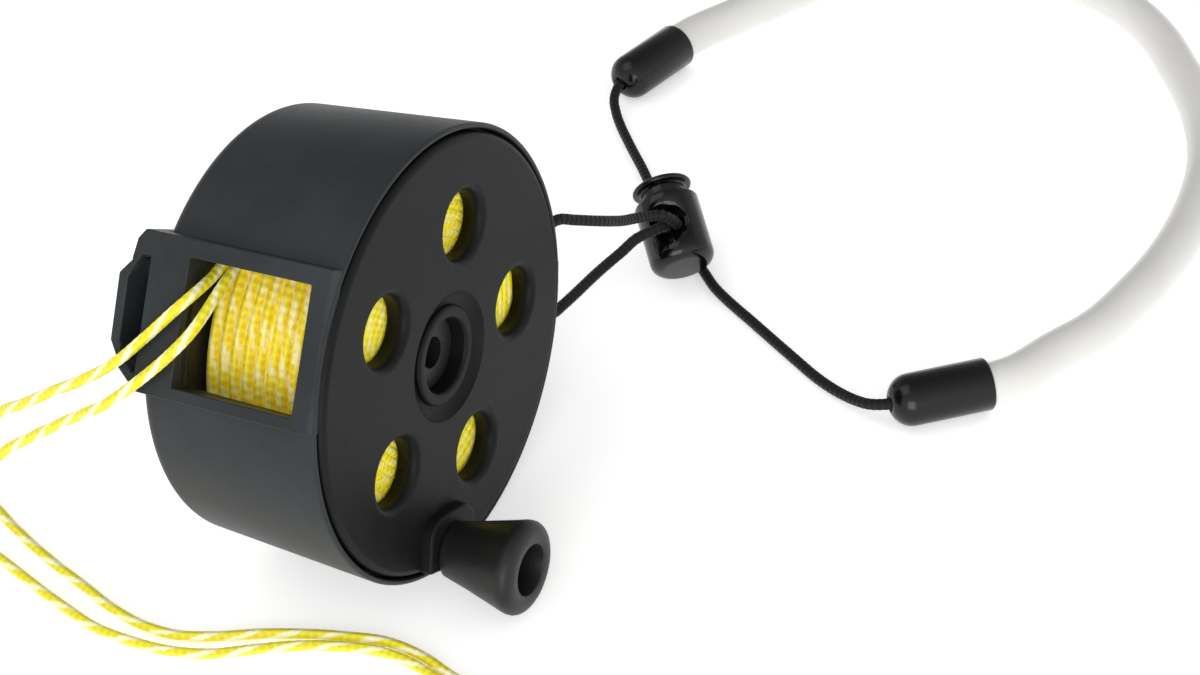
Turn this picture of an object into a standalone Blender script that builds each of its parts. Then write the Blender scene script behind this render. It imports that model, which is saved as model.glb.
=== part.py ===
"""Dive reel: a hand-cranked reel of line in a cup-shaped housing, with a wrist lanyard.

Lengths are in metres. The reel frame has its axis along Y, the open front of the housing
toward -Y and the guide plate on -X. A depth is measured back from the front of the housing.
A clock angle is measured about the axis, from straight down (-Z) toward +X. The reel frame
is then turned and leaned, so that one flat side of the tapered housing lies on the floor.
"""
import math

import bmesh
import bpy
from mathutils import Matrix, Vector

# Clearances and working values
GAP = 0.0003
OVERRUN = 0.0020
MERGE_DISTANCE = 0.000001
SHARP_ANGLE = math.radians(32)

# Housing: a tapered cup, its back wall and its centre boss
HOUSING_FRONT_RADIUS = 0.0425
HOUSING_DRAFT_DROP = 0.0022
HOUSING_DEPTH = 0.0377
SHELL_WALL = 0.0018
RIM_WALL = 0.0010
RIM_ROUNDING = 0.0009
BACK_WALL = 0.0022
BACK_EDGE_FILLET = 0.0030
LEDGE_CLEARANCE = 0.0004
BOSS_RADIUS = 0.0080
BOSS_HEIGHT = 0.00305
BOSS_SEAT_DEPTH = 0.0016
SCREW_POCKET_DEPTH = 0.0025
HOUSING_SIDES = 60
REST_CLOCK = math.radians(37.9)

# Guide plate: the flat frame of the line window, with a slotted lug behind it
PLATE_TOP = 0.0158
PLATE_BOTTOM = 0.0120
PLATE_THICKNESS = 0.0035
PLATE_REAR_MARGIN = 0.0023
WINDOW_TOP = 0.0126
WINDOW_BOTTOM = 0.0098
WINDOW_FRONT_DEPTH = 0.00385
WINDOW_LENGTH = 0.0244
WINDOW_CUT = 0.0120
LUG_LENGTH = 0.0073
LUG_SETBACK = 0.0005
LUG_DEPTH = 0.0090
LUG_PLATE_SHARES = ((0.0, 1.0), (0.356, 1.0), (0.548, 0.935), (0.63, 0.81), (0.63, 0.13),
                    (0.26, 0.05), (0.0, 0.0))
LUG_BAR_SHARES = ((0.40, 0.90), (0.63, 0.81), (1.0, 0.70), (0.973, 0.277), (0.726, 0.176),
                  (0.40, 0.09))
LUG_SLOT_SHARES = ((0.11, 0.842), (0.35, 0.842), (0.712, 0.68), (0.712, 0.291), (0.514, 0.205),
                   (0.185, 0.108), (0.11, 0.108))

# Lanyard eye: a boss with a tunnel, on the far side of the housing
EYE_CLOCK = math.radians(107.7)
EYE_DEPTH = 0.0066
EYE_WIDTH = 0.0065
EYE_LENGTH = 0.0080
EYE_STANDOFF = 0.0025
EYE_COVER = 0.0017
EYE_CHAMFER = 0.0018

# Crank wheel: the front disc that carries the knob
RIM_CLEARANCE = 0.0007
WHEEL_THICKNESS = 0.0034
FACE_RISE = 0.0007
EDGE_ROUNDING = 0.0014
HUB_RING_RADIUS = 0.0094
HUB_RECESS_RADIUS = 0.0070
HUB_RING_CHAMFER = 0.0005
HUB_DISH_WIDTH = 0.0028
HUB_DISH_DEPTH = 0.0017
HUB_DISH_SHARES = ((0.0, 1.0), (0.45, 0.86), (0.80, 0.42), (1.0, 0.0))
HUB_SLEEVE_WALL = 0.0020
HUB_SHOULDER = 0.0020
HUB_MOAT_WIDTH = 0.0014
SPIGOT_LENGTH = 0.0030
SPIGOT_WALL = 0.0015
KEY_COUNT = 3
KEY_WIDTH = 0.0030
KEY_LENGTH = 0.0022
WHEEL_STEPS = 48
HOLE_COUNT = 5
HOLE_PITCH_SHARE = 0.5882
HOLE_RADIUS = 0.0067
HOLE_FLARE = 0.0008
HOLE_FLARE_DEPTH = 0.0010
HOLE_FIRST_CLOCK = math.radians(42.1)

# Knob, the pad it stands on, and the screw and insert that it turns on
KNOB_CLOCK = math.radians(13.8)
KNOB_INSET = 0.0037
PAD_HALF_WIDTH = 0.0075
PAD_REACH = 0.0076
PAD_CORNER = 0.0040
PAD_HEIGHT = 0.0023
KNOB_LENGTH = 0.0163
KNOB_NECK_RADIUS = 0.0054
KNOB_RADIUS = 0.0089
KNOB_BORE_RADIUS = 0.0048
KNOB_BORE_DEPTH = 0.0121
KNOB_BORE_CHAMFER = 0.0004
KNOB_FLARE_SHARES = ((0.0, 0.0), (0.28, 0.30), (0.58, 0.67), (0.85, 1.0))
KNOB_CROWN_SHARES = ((0.91, 0.985), (0.955, 0.93), (0.985, 0.85), (1.0, 0.75))
KNOB_SCREW_RADIUS = 0.0016
KNOB_SCREW_HEAD_RADIUS = 0.0038
KNOB_SCREW_HEAD_HEIGHT = 0.0025
KNOB_SCREW_ENGAGEMENT = 0.0028
KNOB_WASHER_THICKNESS = 0.0006
INSERT_WALL = 0.0007
INSERT_LENGTH = 0.0030

# Axle, its screw, and the bushes and washers on it
AXLE_RADIUS = 0.0045
AXLE_HEAD_DEPTH = 0.0031
AXLE_HEAD_THICKNESS = 0.0018
AXLE_BORE_RADIUS = 0.0030
AXLE_BORE_DEPTH = 0.0180
AXLE_SCREW_RADIUS = 0.0020
AXLE_SCREW_LENGTH = 0.0110
AXLE_SCREW_HEAD_RADIUS = 0.0042
AXLE_SCREW_HEAD_HEIGHT = 0.0013
AXLE_SCREW_WASHER_THICKNESS = 0.0004
SCREW_SLOT_WIDTH = 0.0009
SCREW_SLOT_DEPTH = 0.0006
BUSH_WALL = 0.0007
BUSH_LENGTH = 0.0080
BUSH_FLANGE_THICKNESS = 0.0007
FRONT_WASHER_THICKNESS = 0.0005
THRUST_WASHER_THICKNESS = 0.0006
THRUST_WASHER_WIDTH = 0.0030

# Spool: a barrel with a rear flange and a hub tube
BARREL_WALL = 0.0018
FLANGE_CLEARANCE = 0.0010
FLANGE_THICKNESS = 0.0020
HUB_TUBE_WALL = 0.0026
SPOOL_STEPS = 40
SHAFT_STEPS = 24
WASHER_STEPS = 20

# Wound line: its outer layer winds over a plain core
LINE_DIAMETER = 0.0020
WINDING_DROP = 0.0035
WINDING_LEAST_PITCH = 0.00240
WINDING_MARGIN = 0.0015
LAYER_CLEARANCE = 0.0004
DIVE_RADIUS = 0.0040
DIVE_STEPS = 4
DIVE_POCKET_CLEARANCE = 0.0004
TURN_POINTS = 24

# Lanyard cord, wrist tube, its caps and the knots in them
LANYARD_DIAMETER = 0.0023
CORD_HOLE_CLEARANCE = 0.00035
TUBE_DIAMETER = 0.0088
CAP_RADIUS = 0.00525
CAP_LENGTH = 0.0200
CAP_TIP_WALL = 0.0025
CAP_TIP_FLAT_SHARE = 0.48
CAP_DOME_SHARES = ((0.74, 0.10), (0.91, 0.34), (0.985, 0.68), (1.0, 1.0))
CAP_DOME_LENGTH = 0.0042
CAP_MOUTH_CHAMFER = 0.0003
CAP_STEPS = 24
KNOT_RADIUS = 0.0025
KNOT_LENGTH = 0.0046
KNOT_PROFILE_SHARES = ((0.46, 0.0), (0.80, 0.12), (1.0, 0.36), (1.0, 0.64), (0.80, 0.88), (0.46, 1.0))
FAR_CAP_TIP = (0.1312, 0.0138)
FAR_CAP_HEADING = math.radians(-17.5)
NEAR_CAP_TIP = (0.0537, -0.0829)
NEAR_CAP_HEADING = math.radians(-51.6)

# Cord lock: a body with a cross hole, and a sprung plunger
LOCK_FOOT = (0.0746, -0.02926, 0.00719)
LOCK_HEADING = math.radians(40.1)
LOCK_LEAN = math.radians(25.6)
LOCK_ROLL = math.radians(15.7)
LOCK_RADIUS = 0.0069
LOCK_BODY_LENGTH = 0.0156
LOCK_BOTTOM_FILLET = 0.0025
LOCK_TOP_CHAMFER = 0.0007
LOCK_FLOOR = 0.0016
LOCK_HOLE_HEIGHT = 0.0082
LOCK_HOLE_HALF_WIDTH = 0.0032
LOCK_CORD_CLEARANCE = 0.0005
LOCK_DISH_HALF_WIDTH = 0.0057
LOCK_DISH_HALF_HEIGHT = 0.0037
LOCK_DISH_DEPTH = 0.0022
PLUNGER_RADIUS = 0.0048
PLUNGER_TRAVEL = 0.0022
PLUNGER_FOOT = 0.0012
PLUNGER_STANDOFF = 0.0027
PLUNGER_FLANGE_RADIUS = 0.0064
PLUNGER_FLANGE_THICKNESS = 0.0012
PLUNGER_FLANGE_EDGE = 0.0004
LOCK_STEPS = 28
LOCK_STRAIGHT_SHARES = (0.98, 0.10, -0.72)
SPRING_RADIUS = 0.0034
SPRING_WIRE = 0.0004
SPRING_TURNS = 3
SPRING_TURN_POINTS = 10

# Routes of the free cords, chosen by hand in world coordinates
LINE_SPACING = 0.0080
LANYARD_SPACING = 0.0042
TUBE_SPACING = 0.0120
ROUTE_STEPS = 12
EYE_TO_LOCK_UPPER = ((0.0455, -0.0130, 0.0334), (0.0477, -0.0136, 0.0346), (0.0501, -0.0145, 0.0345),
                     (0.0523, -0.0155, 0.0332), (0.0556, -0.0172, 0.0310), (0.0600, -0.0190, 0.0280),
                     (0.0673, -0.0201, 0.0229))
EYE_TO_LOCK_LOWER = ((0.0402, -0.0137, 0.0191), (0.0413, -0.0141, 0.0168), (0.0434, -0.0146, 0.0153),
                     (0.0458, -0.0150, 0.0149), (0.0503, -0.0157, 0.0146), (0.0557, -0.0163, 0.0142),
                     (0.0613, -0.0170, 0.0138), (0.0669, -0.0184, 0.0139))
LOCK_TO_FAR_CAP = ((0.0947, -0.0151, 0.0017), (0.1002, -0.0100, 0.0012), (0.1055, -0.0054, 0.0012),
                   (0.1090, -0.0023, 0.0012), (0.1157, 0.0040, 0.0012), (0.1228, 0.0104, 0.0019),
                   (0.1270, 0.0134, 0.0038))
LOCK_TO_NEAR_CAP = ((0.0780, -0.0337, 0.0012), (0.0745, -0.0388, 0.0012), (0.0706, -0.0456, 0.0012),
                    (0.0637, -0.0575, 0.0012), (0.0587, -0.0664, 0.0013), (0.0552, -0.0740, 0.0024),
                    (0.0533, -0.0793, 0.0042))
# These four are in the lock's own frame, from the middle of its cross hole
UPPER_STRAND_IN = ((0.0043, 0.0114, 0.0008), (0.0013, 0.0093, 0.0008), (-0.0010, 0.0072, 0.0004))
LOWER_STRAND_IN = ((0.0062, 0.0091, -0.0021), (0.0035, 0.0079, -0.0014), (0.0019, 0.0065, -0.0004))
UPPER_STRAND_OUT = ((-0.00135, -0.0076, -0.0005), (-0.0017, -0.0091, -0.0020),
                    (-0.0022, -0.0093, -0.0042), (-0.00274, -0.0085, -0.0062))
LOWER_STRAND_OUT = ((0.00135, -0.0072, 0.0006), (0.00145, -0.0087, 0.0022), (0.0017, -0.0112, 0.0056))
WRIST_TUBE_ROUTE = ((0.1590, 0.0050, 0.0049), (0.1687, -0.0013, 0.0044), (0.1765, -0.0058, 0.0044),
                    (0.1905, -0.0160, 0.0044), (0.2020, -0.0310, 0.0044), (0.2080, -0.0490, 0.0044),
                    (0.2073, -0.0680, 0.0044), (0.2015, -0.0838, 0.0044), (0.1890, -0.0979, 0.0044),
                    (0.1790, -0.1047, 0.0044), (0.1675, -0.1120, 0.0044), (0.1506, -0.1185, 0.0044),
                    (0.1331, -0.1206, 0.0044), (0.1170, -0.1199, 0.0044), (0.1006, -0.1165, 0.0044),
                    (0.0876, -0.1122, 0.0044), (0.0773, -0.1064, 0.0049))
STRAND_ONE_DEPTH = 0.02665
STRAND_TWO_DEPTH = 0.02430
STRAND_START_CLOCKS = (-130, -125, -120, -115, -110)
STRAND_ONE_OUT = ((-0.0262, 0.0097, 0.0722), (-0.0305, 0.0096, 0.0721), (-0.0327, 0.0112, 0.0708),
                  (-0.0344, 0.0141, 0.0681), (-0.0366, 0.0173, 0.0648), (-0.0391, 0.0210, 0.0615),
                  (-0.0411, 0.0259, 0.0580), (-0.0426, 0.0329, 0.0540), (-0.0437, 0.0427, 0.0475),
                  (-0.0431, 0.0491, 0.0430), (-0.0443, 0.0570, 0.0355), (-0.0462, 0.0650, 0.0255),
                  (-0.0485, 0.0725, 0.0145), (-0.0503, 0.0790, 0.0055), (-0.0510, 0.0850, 0.0013),
                  (-0.0490, 0.0897, 0.00105), (-0.0450, 0.0912, 0.00105), (-0.0412, 0.0887, 0.00105),
                  (-0.0402, 0.0835, 0.00105), (-0.0412, 0.0765, 0.00105), (-0.0427, 0.0690, 0.00105))
STRAND_ONE_BACK = ((-0.0446, 0.0614, 0.00105), (-0.0474, 0.0520, 0.00105), (-0.0498, 0.0432, 0.00105),
                   (-0.0522, 0.0322, 0.00105), (-0.0521, 0.0231, 0.00105), (-0.0512, 0.0159, 0.00105),
                   (-0.0491, 0.0095, 0.00105), (-0.0464, 0.0048, 0.00105), (-0.0428, -0.0015, 0.00105),
                   (-0.0404, -0.0063, 0.00105), (-0.0383, -0.0121, 0.00105), (-0.0367, -0.0184, 0.00105),
                   (-0.0363, -0.0246, 0.00105), (-0.0375, -0.0293, 0.00105), (-0.0390, -0.0345, 0.00105))
BIGHT = ((-0.0415, -0.0415, 0.00105), (-0.0448, -0.0485, 0.00105), (-0.0476, -0.0555, 0.00105),
         (-0.0478, -0.0625, 0.00105), (-0.0425, -0.0672, 0.00105), (-0.0368, -0.0640, 0.00105),
         (-0.0356, -0.0570, 0.00105), (-0.0368, -0.0490, 0.00105), (-0.0376, -0.0410, 0.00105))
STRAND_TWO_BACK = ((-0.0365, -0.0340, 0.00105), (-0.0351, -0.0290, 0.00105), (-0.0339, -0.0243, 0.00105),
                   (-0.0343, -0.0181, 0.00105), (-0.0361, -0.0110, 0.00105), (-0.0382, -0.0045, 0.00105),
                   (-0.0404, 0.0015, 0.00105), (-0.0434, 0.0070, 0.00105), (-0.0463, 0.0139, 0.00105),
                   (-0.0483, 0.0213, 0.00105), (-0.0466, 0.0341, 0.00105), (-0.0439, 0.0428, 0.00105),
                   (-0.0409, 0.0531, 0.00105), (-0.0347, 0.0690, 0.00105))
STRAND_TWO_OUT = ((-0.0318, 0.0750, 0.00105), (-0.0302, 0.0820, 0.00105), (-0.0315, 0.0898, 0.00105),
                  (-0.0365, 0.0960, 0.00105), (-0.0440, 0.0985, 0.00105), (-0.0520, 0.0970, 0.00105),
                  (-0.0578, 0.0918, 0.00105), (-0.0600, 0.0845, 0.0013), (-0.0592, 0.0770, 0.0045),
                  (-0.0572, 0.0700, 0.0115), (-0.0542, 0.0625, 0.0205), (-0.0506, 0.0550, 0.0290),
                  (-0.0468, 0.0490, 0.0355), (-0.0448, 0.0389, 0.0430), (-0.0442, 0.0285, 0.0505),
                  (-0.0437, 0.0208, 0.0560), (-0.0412, 0.0165, 0.0595), (-0.0397, 0.0140, 0.0613),
                  (-0.0374, 0.0106, 0.0648), (-0.0338, 0.0075, 0.0683), (-0.0276, 0.0071, 0.0705))

# Sizes that follow from the ones above
HOUSING_REAR_RADIUS = HOUSING_FRONT_RADIUS - HOUSING_DRAFT_DROP
RIM_INNER_RADIUS = HOUSING_FRONT_RADIUS - RIM_WALL
WHEEL_RADIUS = RIM_INNER_RADIUS - RIM_CLEARANCE
TAPER = HOUSING_DRAFT_DROP / HOUSING_DEPTH
HOLE_PITCH_RADIUS = WHEEL_RADIUS * HOLE_PITCH_SHARE
KNOB_PITCH_RADIUS = WHEEL_RADIUS - KNOB_INSET
BUSH_RADIUS = AXLE_RADIUS + GAP + BUSH_WALL
HUB_BORE_RADIUS = BUSH_RADIUS + GAP
BUSH_FLANGE_RADIUS = HUB_RECESS_RADIUS - GAP
AXLE_HEAD_RADIUS = HUB_RECESS_RADIUS - GAP
AXLE_HEAD_BACK = AXLE_HEAD_DEPTH + AXLE_HEAD_THICKNESS
FRONT_WASHER_BACK = AXLE_HEAD_BACK + GAP + FRONT_WASHER_THICKNESS
FRONT_BUSH_DEPTH = FRONT_WASHER_BACK + GAP
HUB_SHOULDER_DEPTH = FRONT_BUSH_DEPTH + BUSH_FLANGE_THICKNESS + GAP
HUB_BACK = HUB_SHOULDER_DEPTH + HUB_SHOULDER
BACK_WALL_FRONT = HOUSING_DEPTH - BACK_WALL
BOSS_FRONT = BACK_WALL_FRONT - BOSS_HEIGHT
THRUST_WASHER_BACK = BOSS_FRONT - GAP
FLANGE_BACK = THRUST_WASHER_BACK - THRUST_WASHER_THICKNESS - GAP
FLANGE_FRONT = FLANGE_BACK - FLANGE_THICKNESS
FLANGE_RADIUS = HOUSING_REAR_RADIUS - SHELL_WALL - FLANGE_CLEARANCE
AXLE_END = BOSS_FRONT + BOSS_SEAT_DEPTH
AXLE_SEAT_FLOOR = AXLE_END + GAP
SCREW_POCKET_FLOOR = HOUSING_DEPTH - SCREW_POCKET_DEPTH
SCREW_POCKET_RADIUS = AXLE_SCREW_HEAD_RADIUS + GAP + GAP
SCREW_HOLE_RADIUS = AXLE_SCREW_RADIUS + GAP
SPIGOT_RADIUS = HUB_RECESS_RADIUS + HUB_SLEEVE_WALL + HUB_MOAT_WIDTH + SPIGOT_WALL
BARREL_BORE_RADIUS = SPIGOT_RADIUS + GAP
BARREL_RADIUS = BARREL_BORE_RADIUS + BARREL_WALL
SPIGOT_BACK = WHEEL_THICKNESS + SPIGOT_LENGTH
BARREL_FRONT = WHEEL_THICKNESS + GAP
HUB_TUBE_RADIUS = HUB_BORE_RADIUS + HUB_TUBE_WALL
FACE_FRONT = -FACE_RISE
PAD_FRONT = FACE_FRONT - PAD_HEIGHT
KNOB_BASE = PAD_FRONT - GAP
INSERT_RADIUS = KNOB_SCREW_RADIUS + GAP + INSERT_WALL
LINE_RADIUS = LINE_DIAMETER / 2
WINDING_RADIUS = FLANGE_RADIUS - WINDING_DROP
WINDING_START = WHEEL_THICKNESS + WINDING_MARGIN + LINE_RADIUS
WINDING_SPAN = FLANGE_FRONT - GAP - LINE_RADIUS - WINDING_START
WINDING_TURNS = math.floor(WINDING_SPAN / WINDING_LEAST_PITCH)
WINDING_PITCH = WINDING_SPAN / WINDING_TURNS
TURN_RADIUS = WINDING_RADIUS - LINE_RADIUS
CORE_RADIUS = TURN_RADIUS - LINE_RADIUS - LAYER_CLEARANCE
STRAND_RADIUS = WINDING_RADIUS + GAP + LINE_RADIUS
CORD_HOLE_RADIUS = LANYARD_DIAMETER / 2 + CORD_HOLE_CLEARANCE
STRAND_OFFSET = LANYARD_DIAMETER / 2 + GAP / 2
LOCK_HOLE_HALF_HEIGHT = LANYARD_DIAMETER / 2 + LOCK_CORD_CLEARANCE
LOCK_BORE_RADIUS = PLUNGER_RADIUS + GAP
PLUNGER_BOTTOM = LOCK_HOLE_HEIGHT - LANYARD_DIAMETER / 2 - GAP - PLUNGER_FOOT


def material(name, colour, roughness, metallic=0.0):
    """A plain Principled material."""
    made = bpy.data.materials.new(name)
    made.use_nodes = True
    shader = made.node_tree.nodes['Principled BSDF']
    shader.inputs['Base Color'].default_value = (*colour, 1.0)
    shader.inputs['Roughness'].default_value = roughness
    shader.inputs['Metallic'].default_value = metallic
    return made


def depth(distance):
    """The place along the reel's axis of a depth behind the front of the housing."""
    return distance - HOUSING_DEPTH / 2


def outward(clock):
    """The direction away from the reel's axis at a clock angle."""
    return Vector((math.sin(clock), 0, -math.cos(clock)))


def around(clock):
    """The direction along a circle about the reel's axis, toward larger clock angles."""
    return Vector((math.cos(clock), 0, math.sin(clock)))


def add_object(name, data, parent=None, look=None):
    """Link an object, with its parent and its material."""
    made = bpy.data.objects.new(name, data)
    bpy.context.scene.collection.objects.link(made)
    made.parent = parent
    if look is not None:
        data.materials.append(look)
    return made


def finish_mesh(name, shape, parent, look):
    """Turn a bmesh into an object with outward faces and smooth round sides."""
    bmesh.ops.recalc_face_normals(shape, faces=shape.faces)
    mesh = bpy.data.meshes.new(name)
    shape.to_mesh(mesh)
    shape.free()
    mesh.shade_smooth()
    mesh.set_sharp_from_angle(angle=SHARP_ANGLE)
    return add_object(name, mesh, parent, look)


def lathe(name, profile, steps, parent=None, look=None, about='Y', half_step=0.5):
    """Turn a (radius, along) outline about Y or Z; one that leaves the axis becomes a ring."""
    shape = bmesh.new()
    start = REST_CLOCK + half_step * math.tau / steps
    corners = []
    for radius, along in profile:
        if about == 'Y':
            corners.append(shape.verts.new(outward(start) * radius + Vector((0, along, 0))))
        else:
            corners.append(shape.verts.new((radius, 0, along)))
    edges = [shape.edges.new(pair) for pair in zip(corners, corners[1:])]
    if profile[0][0] > 0:
        edges.append(shape.edges.new((corners[-1], corners[0])))
    axis = (0, 1, 0) if about == 'Y' else (0, 0, 1)
    bmesh.ops.spin(shape, geom=corners + edges, cent=(0, 0, 0), axis=axis, angle=math.tau,
                   steps=steps, use_merge=True)
    bmesh.ops.remove_doubles(shape, verts=shape.verts, dist=MERGE_DISTANCE)
    return finish_mesh(name, shape, parent, look)


def turned(name, profile, steps, parent=None, look=None, half_step=0.5):
    """A lathe about the reel's axis, from (radius, depth) pairs."""
    outline = [(radius, depth(place)) for radius, place in profile]
    return lathe(name, outline, steps, parent, look, half_step=half_step)


def slab(name, outline, thickness, parent=None, look=None):
    """Extrude a flat outline of points by a vector."""
    shape = bmesh.new()
    face = shape.faces.new([shape.verts.new(point) for point in outline])
    extruded = bmesh.ops.extrude_face_region(shape, geom=[face])
    moved = [item for item in extruded['geom'] if isinstance(item, bmesh.types.BMVert)]
    bmesh.ops.translate(shape, verts=moved, vec=thickness)
    return finish_mesh(name, shape, parent, look)


def rod(name, start, end, radius, steps, parent=None, look=None):
    """A round bar between two points."""
    start, end = Vector(start), Vector(end)
    shape = bmesh.new()
    place = Matrix.Translation((start + end) / 2)
    place = place @ (end - start).to_track_quat('Z', 'Y').to_matrix().to_4x4()
    bmesh.ops.create_cone(shape, cap_ends=True, segments=steps, radius1=radius, radius2=radius,
                          depth=(end - start).length, matrix=place)
    return finish_mesh(name, shape, parent, look)


def block(name, low, high, parent=None, look=None):
    """A box between two opposite corners."""
    low, high = Vector(low), Vector(high)
    outline = [low, Vector((high.x, low.y, low.z)), Vector((high.x, high.y, low.z)),
               Vector((low.x, high.y, low.z))]
    return slab(name, outline, Vector((0, 0, high.z - low.z)), parent, look)


def combine(target, tool, operation='DIFFERENCE'):
    """Cut, join or intersect an object with a helper shape that isn't part of the model."""
    tool.hide_render = True
    tool.display_type = 'WIRE'
    step = target.modifiers.new(tool.name, 'BOOLEAN')
    step.operation = operation
    step.object = tool
    step.solver = 'EXACT'


def smooth_route(route, spacing, held=()):
    """Points along a smooth curve through a route, even between its ends and its held places."""
    points = [Vector(point) for point in route]
    points = [points[0] * 2 - points[1]] + points + [points[-1] * 2 - points[-2]]
    dense = []
    for before, start, end, after in zip(points, points[1:], points[2:], points[3:]):
        knots = [0.0]
        for first, second in ((before, start), (start, end), (end, after)):
            knots.append(knots[-1] + math.sqrt((second - first).length))
        for step in range(ROUTE_STEPS):
            place = knots[1] + (knots[2] - knots[1]) * step / ROUTE_STEPS
            first = before.lerp(start, (place - knots[0]) / (knots[1] - knots[0]))
            second = start.lerp(end, (place - knots[1]) / (knots[2] - knots[1]))
            third = end.lerp(after, (place - knots[2]) / (knots[3] - knots[2]))
            first = first.lerp(second, (place - knots[0]) / (knots[2] - knots[0]))
            second = second.lerp(third, (place - knots[1]) / (knots[3] - knots[1]))
            dense.append(first.lerp(second, (place - knots[1]) / (knots[2] - knots[1])))
    dense.append(points[-2])
    stops = [0] + [place * ROUTE_STEPS for place in held] + [len(dense) - 1]
    even = []
    for start, stop in zip(stops, stops[1:]):
        even += even_points(dense[start:stop + 1], spacing)
    return even + [dense[-1]]


def even_points(dense, spacing):
    """Points at even steps along a dense chain, without its last one."""
    travelled = [0.0]
    for first, second in zip(dense, dense[1:]):
        travelled.append(travelled[-1] + (second - first).length)
    count = max(1, round(travelled[-1] / spacing))
    even = [dense[0]]
    place = 0
    for number in range(1, count):
        wanted = travelled[-1] * number / count
        while travelled[place + 1] < wanted:
            place += 1
        share = (wanted - travelled[place]) / (travelled[place + 1] - travelled[place])
        even.append(dense[place].lerp(dense[place + 1], share))
    return even


def route_length(points):
    """The length of a chain of points."""
    return sum((second - first).length for first, second in zip(points, points[1:]))


def tube(name, points, diameter, resolution, look, parent=None):
    """A round tube along a chain of points, with flat ends."""
    curve = bpy.data.curves.new(name, 'CURVE')
    curve.dimensions = '3D'
    curve.bevel_depth = diameter / 2
    curve.bevel_resolution = resolution
    curve.use_fill_caps = True
    spline = curve.splines.new('POLY')
    spline.points.add(len(points) - 1)
    for place, point in zip(spline.points, points):
        place.co = (*point, 1.0)
    spline.use_smooth = True
    return add_object(name, curve, parent, look)


def least_gap(points, diameter, apart):
    """The least gap between stretches of one tube that lie further apart along it than a length."""
    travelled = [0.0]
    for first, second in zip(points, points[1:]):
        travelled.append(travelled[-1] + (second - first).length)
    least = math.inf
    for number, point in enumerate(points):
        for other in range(number + 1, len(points) - 1):
            if travelled[other] - travelled[number] < apart:
                continue
            start, end = points[other], points[other + 1]
            share = max(0.0, min(1.0, (point - start).dot(end - start) / (end - start).length_squared))
            least = min(least, (point - start.lerp(end, share)).length)
    return least - diameter


def clear_scene():
    """Start from an empty scene."""
    for item in list(bpy.data.objects):
        bpy.data.objects.remove(item, do_unlink=True)


def make_reel_frame():
    """The reel frame: turned to its resting side and leaned onto that side's slope."""
    slope = math.atan(TAPER * math.cos(math.pi / HOUSING_SIDES))
    middle_radius = (HOUSING_FRONT_RADIUS + HOUSING_REAR_RADIUS) / 2
    lean = add_object('floor_lean', None)
    lean.empty_display_size = middle_radius
    lean.location = (0, 0, middle_radius * math.cos(math.pi / HOUSING_SIDES) * math.cos(slope))
    lean.rotation_euler = (-slope, 0, 0)
    reel = add_object('reel_frame', None, lean)
    reel.empty_display_size = middle_radius
    reel.rotation_euler = (0, REST_CLOCK, 0)
    return reel


def shell_radius(place):
    """The outer radius of the tapered housing at a depth."""
    return HOUSING_FRONT_RADIUS - TAPER * place


def plate_point(place, height, out=0.0):
    """A point of the guide plate from its depth, its height and how far it is set back."""
    return Vector((out - HOUSING_FRONT_RADIUS, depth(place), height))


def lug_points(shares, out=0.0):
    """Points of the lug from shares of its length and of the plate's height."""
    start = HOUSING_DEPTH - PLATE_REAR_MARGIN
    height = PLATE_TOP + PLATE_BOTTOM
    return [plate_point(start + LUG_LENGTH * along, height * up - PLATE_BOTTOM, out)
            for along, up in shares]


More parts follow.
